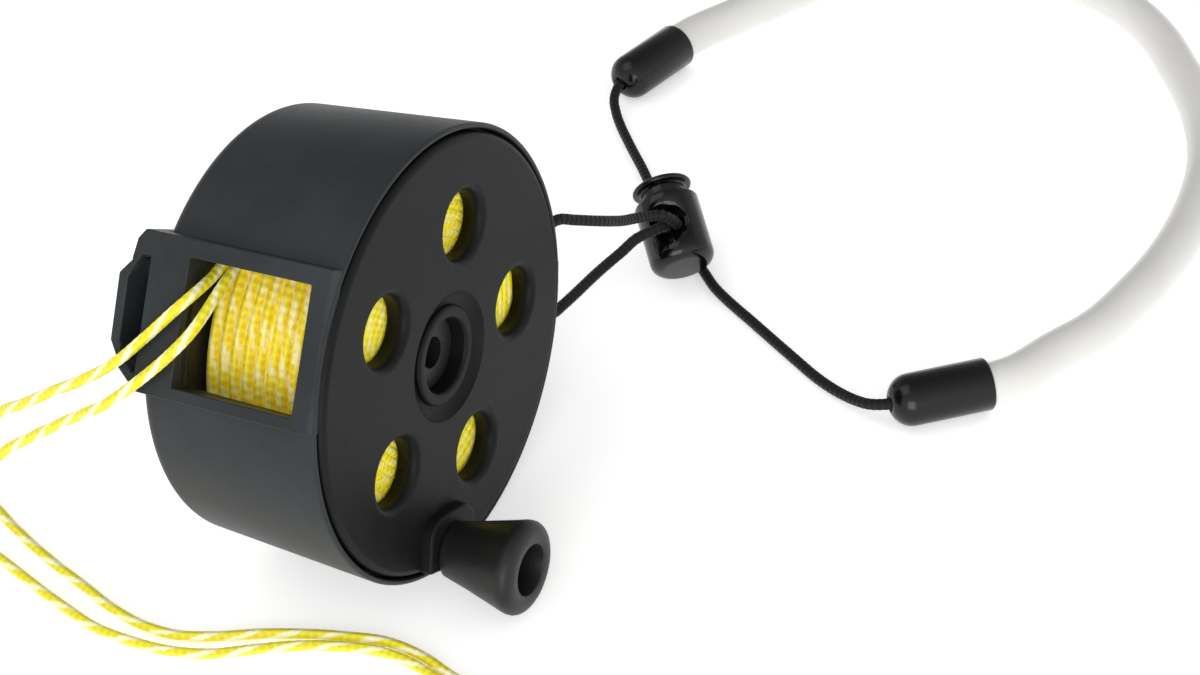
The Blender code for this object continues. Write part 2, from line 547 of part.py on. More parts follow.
def make_housing(reel, look):
    """The cup, its guide plate and lug, and the lanyard eye, moulded in one piece."""
    corner = BACK_EDGE_FILLET * (1 - math.sqrt(0.5))
    fillet_start = HOUSING_DEPTH - BACK_EDGE_FILLET
    rim_corner = RIM_ROUNDING * (1 - math.sqrt(0.5))
    outer = [(0, 0), (HOUSING_FRONT_RADIUS - RIM_ROUNDING, 0),
             (HOUSING_FRONT_RADIUS - rim_corner, rim_corner),
             (shell_radius(RIM_ROUNDING), RIM_ROUNDING),
             (shell_radius(fillet_start), fillet_start),
             (shell_radius(fillet_start) - corner, HOUSING_DEPTH - corner),
             (shell_radius(fillet_start) - BACK_EDGE_FILLET, HOUSING_DEPTH), (0, HOUSING_DEPTH)]
    housing = turned('housing', outer, HOUSING_SIDES, reel, look)

    plate_rear = HOUSING_DEPTH - PLATE_REAR_MARGIN
    inward = Vector((PLATE_THICKNESS, 0, 0))
    plate = slab('plate_shape', [plate_point(0, -PLATE_BOTTOM), plate_point(0, PLATE_TOP),
                                 plate_point(plate_rear, PLATE_TOP), plate_point(plate_rear, -PLATE_BOTTOM)],
                 inward, reel)
    combine(housing, plate, 'UNION')
    lug_plate = slab('lug_plate_shape', lug_points(LUG_PLATE_SHARES), Vector((LUG_DEPTH, 0, 0)), reel)
    combine(housing, lug_plate, 'UNION')
    lug_bar = slab('lug_bar_shape', lug_points(LUG_BAR_SHARES, LUG_SETBACK),
                   Vector((LUG_DEPTH - LUG_SETBACK, 0, 0)), reel)
    combine(housing, lug_bar, 'UNION')

    tunnel_radius = HOUSING_FRONT_RADIUS + EYE_STANDOFF
    top_radius = tunnel_radius + CORD_HOLE_RADIUS + EYE_COVER
    root_radius = HOUSING_FRONT_RADIUS - SHELL_WALL - RIM_WALL
    half = EYE_LENGTH / 2
    eye_outline = ((-half, root_radius), (half, root_radius), (half, top_radius - EYE_CHAMFER),
                   (half - EYE_CHAMFER, top_radius), (EYE_CHAMFER - half, top_radius),
                   (-half, top_radius - EYE_CHAMFER))
    front = Vector((0, depth(EYE_DEPTH) - EYE_WIDTH / 2, 0))
    eye = slab('eye_shape', [front + around(EYE_CLOCK) * along + outward(EYE_CLOCK) * out
                             for along, out in eye_outline], Vector((0, EYE_WIDTH, 0)), reel)
    combine(housing, eye, 'UNION')

    ledge = WHEEL_THICKNESS + LEDGE_CLEARANCE
    hollow = [(0, -OVERRUN), (RIM_INNER_RADIUS, -OVERRUN), (RIM_INNER_RADIUS, ledge),
              (shell_radius(ledge) - SHELL_WALL, ledge),
              (shell_radius(BACK_WALL_FRONT) - SHELL_WALL, BACK_WALL_FRONT),
              (BOSS_RADIUS, BACK_WALL_FRONT), (BOSS_RADIUS, BOSS_FRONT),
              (AXLE_RADIUS + GAP, BOSS_FRONT), (AXLE_RADIUS + GAP, AXLE_SEAT_FLOOR),
              (SCREW_HOLE_RADIUS, AXLE_SEAT_FLOOR), (SCREW_HOLE_RADIUS, SCREW_POCKET_FLOOR),
              (SCREW_POCKET_RADIUS, SCREW_POCKET_FLOOR),
              (SCREW_POCKET_RADIUS, HOUSING_DEPTH + OVERRUN), (0, HOUSING_DEPTH + OVERRUN)]
    cavity = turned('cavity_cut', hollow, HOUSING_SIDES, reel, half_step=0)
    combine(housing, cavity)
    window = slab('window_cut',
                  [plate_point(WINDOW_FRONT_DEPTH, -WINDOW_BOTTOM, -OVERRUN),
                   plate_point(WINDOW_FRONT_DEPTH, WINDOW_TOP, -OVERRUN),
                   plate_point(WINDOW_FRONT_DEPTH + WINDOW_LENGTH, WINDOW_TOP, -OVERRUN),
                   plate_point(WINDOW_FRONT_DEPTH + WINDOW_LENGTH, -WINDOW_BOTTOM, -OVERRUN)],
                  Vector((WINDOW_CUT + OVERRUN, 0, 0)), reel)
    combine(housing, window)
    slot = slab('lug_slot_cut', lug_points(LUG_SLOT_SHARES, -OVERRUN),
                Vector((LUG_DEPTH + OVERRUN + OVERRUN, 0, 0)), reel)
    combine(housing, slot)
    middle = Vector((0, depth(EYE_DEPTH), 0)) + outward(EYE_CLOCK) * tunnel_radius
    reach = around(EYE_CLOCK) * (half + OVERRUN)
    tunnel = rod('eye_tunnel_cut', middle - reach, middle + reach, CORD_HOLE_RADIUS, WASHER_STEPS, reel)
    combine(housing, tunnel)
    return middle, around(EYE_CLOCK) * half


def make_crank_wheel(reel, look):
    """The front disc: finger holes, dished hub, pad, and the spigot and keys that drive the spool."""
    edge_corner = EDGE_ROUNDING * (1 - math.sqrt(0.5))
    edge_radius = WHEEL_RADIUS - EDGE_ROUNDING
    dish = [(HUB_RING_RADIUS + HUB_DISH_WIDTH * across, FACE_FRONT + HUB_DISH_DEPTH * down)
            for across, down in HUB_DISH_SHARES]
    sleeve_radius = HUB_RECESS_RADIUS + HUB_SLEEVE_WALL
    profile = [(HUB_RECESS_RADIUS, HUB_RING_CHAMFER), (HUB_RECESS_RADIUS + HUB_RING_CHAMFER, 0),
               (HUB_RING_RADIUS - HUB_RING_CHAMFER, 0), (HUB_RING_RADIUS, HUB_RING_CHAMFER), *dish,
               (edge_radius, FACE_FRONT), (WHEEL_RADIUS - edge_corner, FACE_FRONT + edge_corner),
               (WHEEL_RADIUS, FACE_FRONT + EDGE_ROUNDING), (WHEEL_RADIUS, WHEEL_THICKNESS),
               (SPIGOT_RADIUS, WHEEL_THICKNESS), (SPIGOT_RADIUS, SPIGOT_BACK),
               (SPIGOT_RADIUS - SPIGOT_WALL, SPIGOT_BACK), (SPIGOT_RADIUS - SPIGOT_WALL, WHEEL_THICKNESS),
               (sleeve_radius, WHEEL_THICKNESS), (sleeve_radius, HUB_BACK), (HUB_BORE_RADIUS, HUB_BACK),
               (HUB_BORE_RADIUS, HUB_SHOULDER_DEPTH), (HUB_RECESS_RADIUS, HUB_SHOULDER_DEPTH)]
    wheel = turned('crank_wheel', profile, WHEEL_STEPS, reel, look)

    knob_out, knob_side = outward(KNOB_CLOCK), around(KNOB_CLOCK)
    pad_front = Vector((0, depth(PAD_FRONT), 0))
    arch = [knob_out * (WHEEL_RADIUS + OVERRUN) + knob_side * PAD_HALF_WIDTH,
            knob_out * (WHEEL_RADIUS + OVERRUN) - knob_side * PAD_HALF_WIDTH]
    quarter = WASHER_STEPS // 4
    for step in range(quarter + quarter + 2):
        side = 1 if step <= quarter else -1
        turn = math.tau * (step if side > 0 else step - 1) / WASHER_STEPS
        across = side * (PAD_HALF_WIDTH - PAD_CORNER) + PAD_CORNER * math.cos(turn)
        inward = PAD_REACH - PAD_CORNER + PAD_CORNER * math.sin(turn)
        arch.append(knob_out * (KNOB_PITCH_RADIUS - inward) - knob_side * across)
    pad = slab('pad_shape', [point + pad_front for point in arch],
               Vector((0, PAD_HEIGHT + (WHEEL_THICKNESS - FACE_FRONT) / 2, 0)), reel)
    limit_radius = WHEEL_RADIUS - GAP
    limit_front = PAD_FRONT - OVERRUN
    pad_limit = turned('pad_limit', [(0, limit_front), (limit_radius, limit_front),
                                     (limit_radius, WHEEL_THICKNESS), (0, WHEEL_THICKNESS)],
                       HOUSING_SIDES, reel)
    combine(pad, pad_limit, 'INTERSECT')
    combine(wheel, pad, 'UNION')
    for number in range(KEY_COUNT):
        turn = math.tau * number / KEY_COUNT
        key = spigot_key('drive_key_%d' % number, turn, KEY_WIDTH, WHEEL_THICKNESS - GAP,
                         KEY_LENGTH + GAP, SPIGOT_RADIUS - SPIGOT_WALL / 2, BARREL_RADIUS - GAP, reel)
        combine(wheel, key, 'UNION')

    flare = HOLE_RADIUS + HOLE_FLARE
    for number in range(HOLE_COUNT):
        middle = outward(HOLE_FIRST_CLOCK + math.tau * number / HOLE_COUNT) * HOLE_PITCH_RADIUS
        hole = turned('finger_hole_cut_%d' % number,
                      [(0, FACE_FRONT - OVERRUN), (flare + HOLE_FLARE, FACE_FRONT - OVERRUN),
                       (flare, FACE_FRONT), (HOLE_RADIUS, FACE_FRONT + HOLE_FLARE_DEPTH),
                       (HOLE_RADIUS, WHEEL_THICKNESS + OVERRUN), (0, WHEEL_THICKNESS + OVERRUN)],
                      SHAFT_STEPS, reel)
        hole.location = middle
        combine(wheel, hole)
    pin = knob_out * KNOB_PITCH_RADIUS
    insert_hole = rod('insert_hole_cut', pin + Vector((0, depth(PAD_FRONT - OVERRUN), 0)),
                      pin + Vector((0, depth(PAD_FRONT + INSERT_LENGTH + GAP), 0)),
                      INSERT_RADIUS + GAP, WASHER_STEPS, reel)
    combine(wheel, insert_hole)


def spigot_key(name, turn, width, start, length, inner, outer, reel):
    """A block on the spigot, between two radii, at a clock angle."""
    side, out = around(turn) * (width / 2), outward(turn)
    front = Vector((0, depth(start), 0))
    outline = [front + out * inner - side, front + out * inner + side,
               front + out * outer + side, front + out * outer - side]
    return slab(name, outline, Vector((0, length, 0)), reel)


def make_spool(reel, look):
    """The barrel with its rear flange and hub tube, notched for the keys of the crank wheel."""
    counterbore = FLANGE_BACK - BUSH_FLANGE_THICKNESS - GAP
    profile = [(HUB_BORE_RADIUS, HUB_BACK + GAP), (HUB_TUBE_RADIUS, HUB_BACK + GAP),
               (HUB_TUBE_RADIUS, FLANGE_FRONT), (BARREL_BORE_RADIUS, FLANGE_FRONT),
               (BARREL_BORE_RADIUS, BARREL_FRONT), (BARREL_RADIUS, BARREL_FRONT),
               (BARREL_RADIUS, FLANGE_FRONT), (FLANGE_RADIUS, FLANGE_FRONT),
               (FLANGE_RADIUS, FLANGE_BACK), (HUB_RECESS_RADIUS, FLANGE_BACK),
               (HUB_RECESS_RADIUS, counterbore), (HUB_BORE_RADIUS, counterbore)]
    spool = turned('spool', profile, SPOOL_STEPS, reel, look)
    for number in range(KEY_COUNT):
        turn = math.tau * number / KEY_COUNT
        notch = spigot_key('key_notch_cut_%d' % number, turn, KEY_WIDTH + GAP + GAP,
                           WHEEL_THICKNESS - OVERRUN, KEY_LENGTH + GAP + OVERRUN,
                           SPIGOT_RADIUS - SPIGOT_WALL / 2, BARREL_RADIUS + OVERRUN / 2, reel)
        combine(spool, notch)


def make_axle_set(reel, looks):
    """The flanged axle, its screw from the back, and the washers and bushes on it."""
    bore_end = AXLE_HEAD_DEPTH + AXLE_BORE_DEPTH
    turned('axle', [(AXLE_BORE_RADIUS, AXLE_HEAD_DEPTH), (AXLE_HEAD_RADIUS, AXLE_HEAD_DEPTH),
                    (AXLE_HEAD_RADIUS, AXLE_HEAD_BACK), (AXLE_RADIUS, AXLE_HEAD_BACK),
                    (AXLE_RADIUS, AXLE_END), (SCREW_HOLE_RADIUS, AXLE_END),
                    (SCREW_HOLE_RADIUS, bore_end), (AXLE_BORE_RADIUS, bore_end)],
           SHAFT_STEPS, reel, looks['black'])

    washer_front = SCREW_POCKET_FLOOR + GAP
    washer_back = washer_front + AXLE_SCREW_WASHER_THICKNESS
    turned('axle_screw_washer', [(SCREW_HOLE_RADIUS, washer_front), (AXLE_SCREW_HEAD_RADIUS, washer_front),
                                 (AXLE_SCREW_HEAD_RADIUS, washer_back), (SCREW_HOLE_RADIUS, washer_back)],
           WASHER_STEPS, reel, looks['steel'])
    head_front = washer_back + GAP
    head_back = head_front + AXLE_SCREW_HEAD_HEIGHT
    screw = turned('axle_screw', [(0, head_front - AXLE_SCREW_LENGTH),
                                  (AXLE_SCREW_RADIUS, head_front - AXLE_SCREW_LENGTH),
                                  (AXLE_SCREW_RADIUS, head_front), (AXLE_SCREW_HEAD_RADIUS, head_front),
                                  (AXLE_SCREW_HEAD_RADIUS, head_back - SCREW_SLOT_DEPTH / 2),
                                  (AXLE_SCREW_HEAD_RADIUS - SCREW_SLOT_DEPTH / 2, head_back), (0, head_back)],
                   WASHER_STEPS, reel, looks['steel'])
    slot_reach = AXLE_SCREW_HEAD_RADIUS + OVERRUN
    slot = block('axle_screw_slot_cut',
                 (-slot_reach, depth(head_back - SCREW_SLOT_DEPTH), -SCREW_SLOT_WIDTH / 2),
                 (slot_reach, depth(head_back + OVERRUN), SCREW_SLOT_WIDTH / 2), reel)
    combine(screw, slot)

    washer_bore = AXLE_RADIUS + GAP
    turned('front_washer', [(washer_bore, AXLE_HEAD_BACK + GAP), (AXLE_HEAD_RADIUS, AXLE_HEAD_BACK + GAP),
                            (AXLE_HEAD_RADIUS, FRONT_WASHER_BACK), (washer_bore, FRONT_WASHER_BACK)],
           WASHER_STEPS, reel, looks['steel'])
    thrust_radius = washer_bore + THRUST_WASHER_WIDTH
    turned('thrust_washer', [(washer_bore, FLANGE_BACK + GAP), (thrust_radius, FLANGE_BACK + GAP),
                             (thrust_radius, THRUST_WASHER_BACK), (washer_bore, THRUST_WASHER_BACK)],
           WASHER_STEPS, reel, looks['nylon'])

    flange_back = FRONT_BUSH_DEPTH + BUSH_FLANGE_THICKNESS
    turned('front_bush', [(washer_bore, FRONT_BUSH_DEPTH), (BUSH_FLANGE_RADIUS, FRONT_BUSH_DEPTH),
                          (BUSH_FLANGE_RADIUS, flange_back), (BUSH_RADIUS, flange_back),
                          (BUSH_RADIUS, flange_back + BUSH_LENGTH), (washer_bore, flange_back + BUSH_LENGTH)],
           SHAFT_STEPS, reel, looks['nylon'])
    rear_flange = FLANGE_BACK - BUSH_FLANGE_THICKNESS
    turned('rear_bush', [(washer_bore, rear_flange - BUSH_LENGTH), (BUSH_RADIUS, rear_flange - BUSH_LENGTH),
                         (BUSH_RADIUS, rear_flange), (BUSH_FLANGE_RADIUS, rear_flange),
                         (BUSH_FLANGE_RADIUS, FLANGE_BACK), (washer_bore, FLANGE_BACK)],
           SHAFT_STEPS, reel, looks['nylon'])


def make_knob_set(reel, looks):
    """The crank knob on its pin axis, with its screw, washer and threaded insert."""
    pin = add_object('knob_pin_frame', None, reel)
    pin.empty_display_size = KNOB_RADIUS
    pin.location = outward(KNOB_CLOCK) * KNOB_PITCH_RADIUS
    tip = KNOB_BASE - KNOB_LENGTH
    shaft_hole = KNOB_SCREW_RADIUS + GAP
    profile = []
    for along, share in KNOB_FLARE_SHARES:
        profile.append((KNOB_NECK_RADIUS + (KNOB_RADIUS - KNOB_NECK_RADIUS) * share,
                        KNOB_BASE - KNOB_LENGTH * along))
    for along, share in KNOB_CROWN_SHARES:
        profile.append((KNOB_RADIUS * share, KNOB_BASE - KNOB_LENGTH * along))
    bore_floor = tip + KNOB_BORE_DEPTH
    profile += [(KNOB_BORE_RADIUS + KNOB_BORE_CHAMFER, tip), (KNOB_BORE_RADIUS, tip + KNOB_BORE_CHAMFER),
                (KNOB_BORE_RADIUS, bore_floor), (shaft_hole, bore_floor), (shaft_hole, KNOB_BASE)]
    turned('crank_knob', profile, SHAFT_STEPS, pin, looks['black'])

    washer_back = bore_floor - GAP
    washer_front = washer_back - KNOB_WASHER_THICKNESS
    washer_radius = KNOB_BORE_RADIUS - GAP - GAP
    turned('knob_washer', [(shaft_hole, washer_front), (washer_radius, washer_front),
                           (washer_radius, washer_back), (shaft_hole, washer_back)],
           WASHER_STEPS, pin, looks['steel'])
    head_back = washer_front - GAP
    head_front = head_back - KNOB_SCREW_HEAD_HEIGHT
    screw = turned('knob_screw', [(0, head_front), (KNOB_SCREW_HEAD_RADIUS - SCREW_SLOT_DEPTH, head_front),
                                  (KNOB_SCREW_HEAD_RADIUS, head_front + SCREW_SLOT_DEPTH),
                                  (KNOB_SCREW_HEAD_RADIUS, head_back), (KNOB_SCREW_RADIUS, head_back),
                                  (KNOB_SCREW_RADIUS, PAD_FRONT + KNOB_SCREW_ENGAGEMENT),
                                  (0, PAD_FRONT + KNOB_SCREW_ENGAGEMENT)], WASHER_STEPS, pin, looks['steel'])
    slot_reach = KNOB_SCREW_HEAD_RADIUS + OVERRUN
    slot = block('knob_screw_slot_cut',
                 (-slot_reach, depth(head_front - OVERRUN), -SCREW_SLOT_WIDTH / 2),
                 (slot_reach, depth(head_front + SCREW_SLOT_DEPTH), SCREW_SLOT_WIDTH / 2), pin)
    combine(screw, slot)
    insert_back = PAD_FRONT + INSERT_LENGTH
    turned('knob_insert', [(shaft_hole, PAD_FRONT), (INSERT_RADIUS, PAD_FRONT),
                           (INSERT_RADIUS, insert_back), (shaft_hole, insert_back)],
           WASHER_STEPS, pin, looks['brass'])


def winding_points():
    """The outer layer's turns, with each end turned in toward the core."""
    count = WINDING_TURNS * TURN_POINTS
    turns = []
    for number in range(count + 1):
        clock = math.tau * number / TURN_POINTS
        place = depth(WINDING_START + WINDING_PITCH * number / TURN_POINTS)
        turns.append(outward(clock) * TURN_RADIUS + Vector((0, place, 0)))
    first = dive(turns[0], -around(0), -outward(0))
    last = dive(turns[-1], around(math.tau * WINDING_TURNS), -outward(math.tau * WINDING_TURNS))
    return list(reversed(first)) + turns + last


def dive(end, onward, inward):
    """Points that turn from a winding's end toward its axis, with a straight run of one diameter."""
    points = []
    for step in range(1, DIVE_STEPS + 1):
        turn = math.pi / 2 * step / DIVE_STEPS
        along, down = DIVE_RADIUS * math.sin(turn), DIVE_RADIUS * (1 - math.cos(turn))
        points.append(end + onward * along + inward * down)
    points.append(points[-1] + inward * LINE_DIAMETER)
    return points


def make_winding(reel, looks):
    """The plain core of the wound line, and its outer layer as one tube."""
    core_bore = BARREL_RADIUS + GAP
    front, back = WHEEL_THICKNESS + GAP, FLANGE_FRONT - GAP
    core = turned('wound_line_core', [(core_bore, front), (CORE_RADIUS, front), (CORE_RADIUS, back),
                                      (core_bore, back)], SPOOL_STEPS, reel, looks['line'])
    points = winding_points()
    half_width = LINE_RADIUS + DIVE_POCKET_CLEARANCE
    for name, end, onward in (('front', points[0], -1), ('rear', points[-1], 1)):
        reach = DIVE_RADIUS + LINE_RADIUS + DIVE_POCKET_CLEARANCE
        floor = end.z - GAP
        low = (min(-LINE_DIAMETER * onward, reach * onward), end.y - half_width, -WINDING_RADIUS - OVERRUN)
        high = (max(-LINE_DIAMETER * onward, reach * onward), end.y + half_width, end.z + GAP)
        pocket = block('dive_pocket_cut_' + name, low, high, reel)
        combine(core, pocket)
    tube('wound_line', points, LINE_DIAMETER, 1, looks['line'], reel)
    print('wound_line: least gap to itself %.2f mm' % (1000 * least_gap(points, LINE_DIAMETER, TURN_RADIUS)))


def make_free_line(reel_matrix, look):
    """The doubled end of the line, from the winding out of the window and back."""
    starts = []
    for place in (STRAND_ONE_DEPTH, STRAND_TWO_DEPTH):
        arc = [outward(math.radians(clock)) * STRAND_RADIUS + Vector((0, depth(place), 0))
               for clock in STRAND_START_CLOCKS]
        starts.append([reel_matrix @ point for point in arc])
    route = starts[0] + list(STRAND_ONE_OUT) + list(STRAND_ONE_BACK) + list(BIGHT)
    route += list(STRAND_TWO_BACK) + list(STRAND_TWO_OUT) + list(reversed(starts[1]))
    first, last = len(starts[0]), len(route) - len(starts[1]) - 1
    points = smooth_route(route, LINE_SPACING, (first + 1, first + 2, last - 2, last - 1))
    tube('free_line', points, LINE_DIAMETER, 2, look)
    print('free_line: %.0f mm, %d points' % (1000 * route_length(points), len(points)))


def cap_frame(name, tip, heading):
    """A frame at a cap's tip, with Z along the cap toward its open end."""
    frame = add_object(name, None)
    frame.empty_display_size = CAP_RADIUS
    frame.location = (*tip, CAP_RADIUS)
    frame.rotation_euler = (0, math.pi / 2, heading)
    return frame


def make_cap(name, frame, look):
    """A rubber cap with a domed tip, a cord hole and a bore for the wrist tube."""
    bore = TUBE_DIAMETER / 2 + GAP
    profile = [(CORD_HOLE_RADIUS, 0), (CAP_RADIUS * CAP_TIP_FLAT_SHARE, 0)]
    profile += [(CAP_RADIUS * out, CAP_DOME_LENGTH * along) for out, along in CAP_DOME_SHARES]
    profile += [(CAP_RADIUS, CAP_LENGTH - CAP_MOUTH_CHAMFER), (CAP_RADIUS - CAP_MOUTH_CHAMFER, CAP_LENGTH),
                (bore, CAP_LENGTH), (bore, CAP_DOME_LENGTH), (bore * CAP_DOME_SHARES[0][0], CAP_TIP_WALL),
                (CORD_HOLE_RADIUS, CAP_TIP_WALL)]
    lathe(name, profile, CAP_STEPS, frame, look, about='Z')


def make_knot(name, frame, look):
    """The stopper knot that holds the cord inside a cap."""
    start = CAP_TIP_WALL + GAP
    profile = [(0, start)]
    profile += [(KNOT_RADIUS * out, start + KNOT_LENGTH * along) for out, along in KNOT_PROFILE_SHARES]
    profile.append((0, start + KNOT_LENGTH))
    lathe(name, profile, WASHER_STEPS // 2, frame, look, about='Z')


def make_lock_frame():
    """A frame at the middle of the lock's bottom: Z along the lock, Y along its cross hole."""
    level = math.cos(LOCK_LEAN)
    along = Vector((level * math.cos(LOCK_HEADING), level * math.sin(LOCK_HEADING), math.sin(LOCK_LEAN)))
    up = (Vector((0, 0, 1)) - along * along.z).normalized()
    hole = Matrix.Rotation(-LOCK_ROLL, 3, along) @ up
    side = hole.cross(along)
    frame = add_object('lock_frame', None)
    frame.empty_display_size = LOCK_RADIUS
    turn = Matrix((side, hole, along)).transposed().to_4x4()
    frame.matrix_world = Matrix.Translation(LOCK_FOOT) @ turn
    return frame


def make_lock(frame, looks):
    """The cord lock's body, plunger and spring."""
    fillet = LOCK_BOTTOM_FILLET
    profile = [(0, 0), (LOCK_RADIUS - fillet, 0)]
    for step in (1, 2):
        turn = math.pi / 2 * step / 3
        profile.append((LOCK_RADIUS - fillet + fillet * math.sin(turn), fillet - fillet * math.cos(turn)))
    profile += [(LOCK_RADIUS, fillet), (LOCK_RADIUS, LOCK_BODY_LENGTH - LOCK_TOP_CHAMFER),
                (LOCK_RADIUS - LOCK_TOP_CHAMFER, LOCK_BODY_LENGTH), (LOCK_BORE_RADIUS, LOCK_BODY_LENGTH),
                (LOCK_BORE_RADIUS, LOCK_FLOOR), (0, LOCK_FLOOR)]
    body = lathe('lock_body', profile, LOCK_STEPS, frame, looks['gloss'], about='Z')
    reach = Vector((0, LOCK_RADIUS + OVERRUN, 0))
    middle = Vector((0, 0, LOCK_HOLE_HEIGHT))
    hole = slot_cutter('lock_hole_cut', middle, LOCK_HOLE_HALF_WIDTH, -LOCK_HOLE_HALF_HEIGHT,
                       LOCK_HOLE_HALF_HEIGHT, reach, frame)
    combine(body, hole)
    for name, side in (('top', 1), ('bottom', -1)):
        dish = bmesh.new()
        size = Matrix.Diagonal((LOCK_DISH_HALF_WIDTH, LOCK_DISH_DEPTH, LOCK_DISH_HALF_HEIGHT, 1))
        place = Matrix.Translation(middle + Vector((0, side * LOCK_RADIUS, 0)))
        bmesh.ops.create_uvsphere(dish, u_segments=16, v_segments=10, radius=1, matrix=place @ size)
        combine(body, finish_mesh('lock_dish_cut_' + name, dish, frame, None))

    flange = LOCK_BODY_LENGTH + PLUNGER_STANDOFF
    top = flange + PLUNGER_FLANGE_THICKNESS
    profile = [(0, PLUNGER_BOTTOM), (PLUNGER_RADIUS, PLUNGER_BOTTOM), (PLUNGER_RADIUS, flange),
               (PLUNGER_FLANGE_RADIUS, flange), (PLUNGER_FLANGE_RADIUS, top - PLUNGER_FLANGE_EDGE),
               (PLUNGER_FLANGE_RADIUS - PLUNGER_FLANGE_EDGE, top), (0, top)]
    plunger = lathe('lock_plunger', profile, LOCK_STEPS, frame, looks['gloss'], about='Z')
    low = -LANYARD_DIAMETER / 2 - GAP
    slot = slot_cutter('plunger_slot_cut', middle, LOCK_HOLE_HALF_WIDTH, low, PLUNGER_TRAVEL - low,
                       reach, frame)
    combine(plunger, slot)

    start = LOCK_FLOOR + GAP + SPRING_WIRE / 2
    rise = PLUNGER_BOTTOM - GAP - SPRING_WIRE / 2 - start
    count = SPRING_TURNS * SPRING_TURN_POINTS
    coil = []
    for number in range(count + 1):
        turn = math.tau * number / SPRING_TURN_POINTS
        coil.append(Vector((SPRING_RADIUS * math.cos(turn), SPRING_RADIUS * math.sin(turn),
                            start + rise * number / count)))
    tube('lock_spring', coil, SPRING_WIRE, 1, looks['steel'], frame)


def slot_cutter(name, middle, half_width, low, high, reach, frame):
    """A flat slot with rounded corners, running along Y on both sides of a middle point."""
    radius = LOCK_HOLE_HALF_HEIGHT
    across = half_width - radius
    corners = ((across, low + radius), (across, high - radius),
               (-across, high - radius), (-across, low + radius))
    outline = []
    for number, (side, up) in enumerate(corners):
        for step in range(4):
            turn = math.pi / 2 * (number - 1 + step / 3)
            rounded = Vector((side + radius * math.cos(turn), 0, up + radius * math.sin(turn)))
            outline.append(middle - reach + rounded)
    return slab(name, outline, reach * 2, frame)


def strand_through_lock(frame_matrix, side, entry, leaving):
    """A strand's points in the lock, from the side where it comes in to the side where it leaves."""
    middle = Vector((0, 0, LOCK_HOLE_HEIGHT))
    straight = [Vector((side * STRAND_OFFSET, LOCK_BORE_RADIUS * share, 0)) for share in LOCK_STRAIGHT_SHARES]
    local = [Vector(point) for point in entry] + straight + [Vector(point) for point in leaving]
    return [frame_matrix @ (middle + point) for point in local]


def make_lanyard(reel_matrix, eye_middle, eye_reach, lock_matrix, far_frame, near_frame, looks):
    """Both ends of the lanyard cord, from the middle of the eye through the lock into a cap."""
    for name, side, free_in, lock_in, lock_out, lock_side, free_out, cap in (
            ('lanyard_cord_upper', 1, EYE_TO_LOCK_UPPER, UPPER_STRAND_IN, UPPER_STRAND_OUT, -1,
             LOCK_TO_NEAR_CAP, near_frame),
            ('lanyard_cord_lower', -1, EYE_TO_LOCK_LOWER, LOWER_STRAND_IN, LOWER_STRAND_OUT, 1,
             LOCK_TO_FAR_CAP, far_frame)):
        run = eye_reach.normalized() * side
        start = [eye_middle + run * (GAP / 2), eye_middle + run * (eye_reach.length / 2),
                 eye_middle + run * (eye_reach.length + LANYARD_DIAMETER / 2)]
        route = [reel_matrix @ point for point in start] + list(free_in)
        lock_start = len(route) + len(lock_in)
        route += strand_through_lock(lock_matrix, lock_side, lock_in, lock_out) + list(free_out)
        cap_start = len(route)
        route += [cap.matrix_world @ Vector((0, 0, place)) for place in (0, CAP_TIP_WALL / 2, CAP_TIP_WALL)]
        points = smooth_route(route, LANYARD_SPACING, (len(start) - 1, lock_start, lock_start + 2, cap_start))
        tube(name, points, LANYARD_DIAMETER, 2, looks['cord'])
        print('%s: %.0f mm, %d points' % (name, 1000 * route_length(points), len(points)))


def make_wrist_loop(looks):
    """The two caps with their knots, and the tube between them."""
    far_frame = cap_frame('far_cap_frame', FAR_CAP_TIP, FAR_CAP_HEADING)
    near_frame = cap_frame('near_cap_frame', NEAR_CAP_TIP, NEAR_CAP_HEADING)
    bpy.context.view_layer.update()
    for name, frame in (('far', far_frame), ('near', near_frame)):
        make_cap(name + '_cap', frame, looks['rubber'])
        make_knot(name + '_knot', frame, looks['cord'])
    seat = CAP_TIP_WALL + GAP + KNOT_LENGTH + GAP
    inside = [seat, (seat + CAP_LENGTH) / 2, CAP_LENGTH + TUBE_DIAMETER / 2]
    route = [far_frame.matrix_world @ Vector((0, 0, place)) for place in inside]
    route += list(WRIST_TUBE_ROUTE)
    route += [near_frame.matrix_world @ Vector((0, 0, place)) for place in reversed(inside)]
    points = smooth_route(route, TUBE_SPACING, (len(inside) - 1, len(route) - len(inside)))
    tube('wrist_tube', points, TUBE_DIAMETER, 3, looks['tube'])
    print('wrist_tube: %.0f mm, %d points' % (1000 * route_length(points), len(points)))
    return far_frame, near_frame


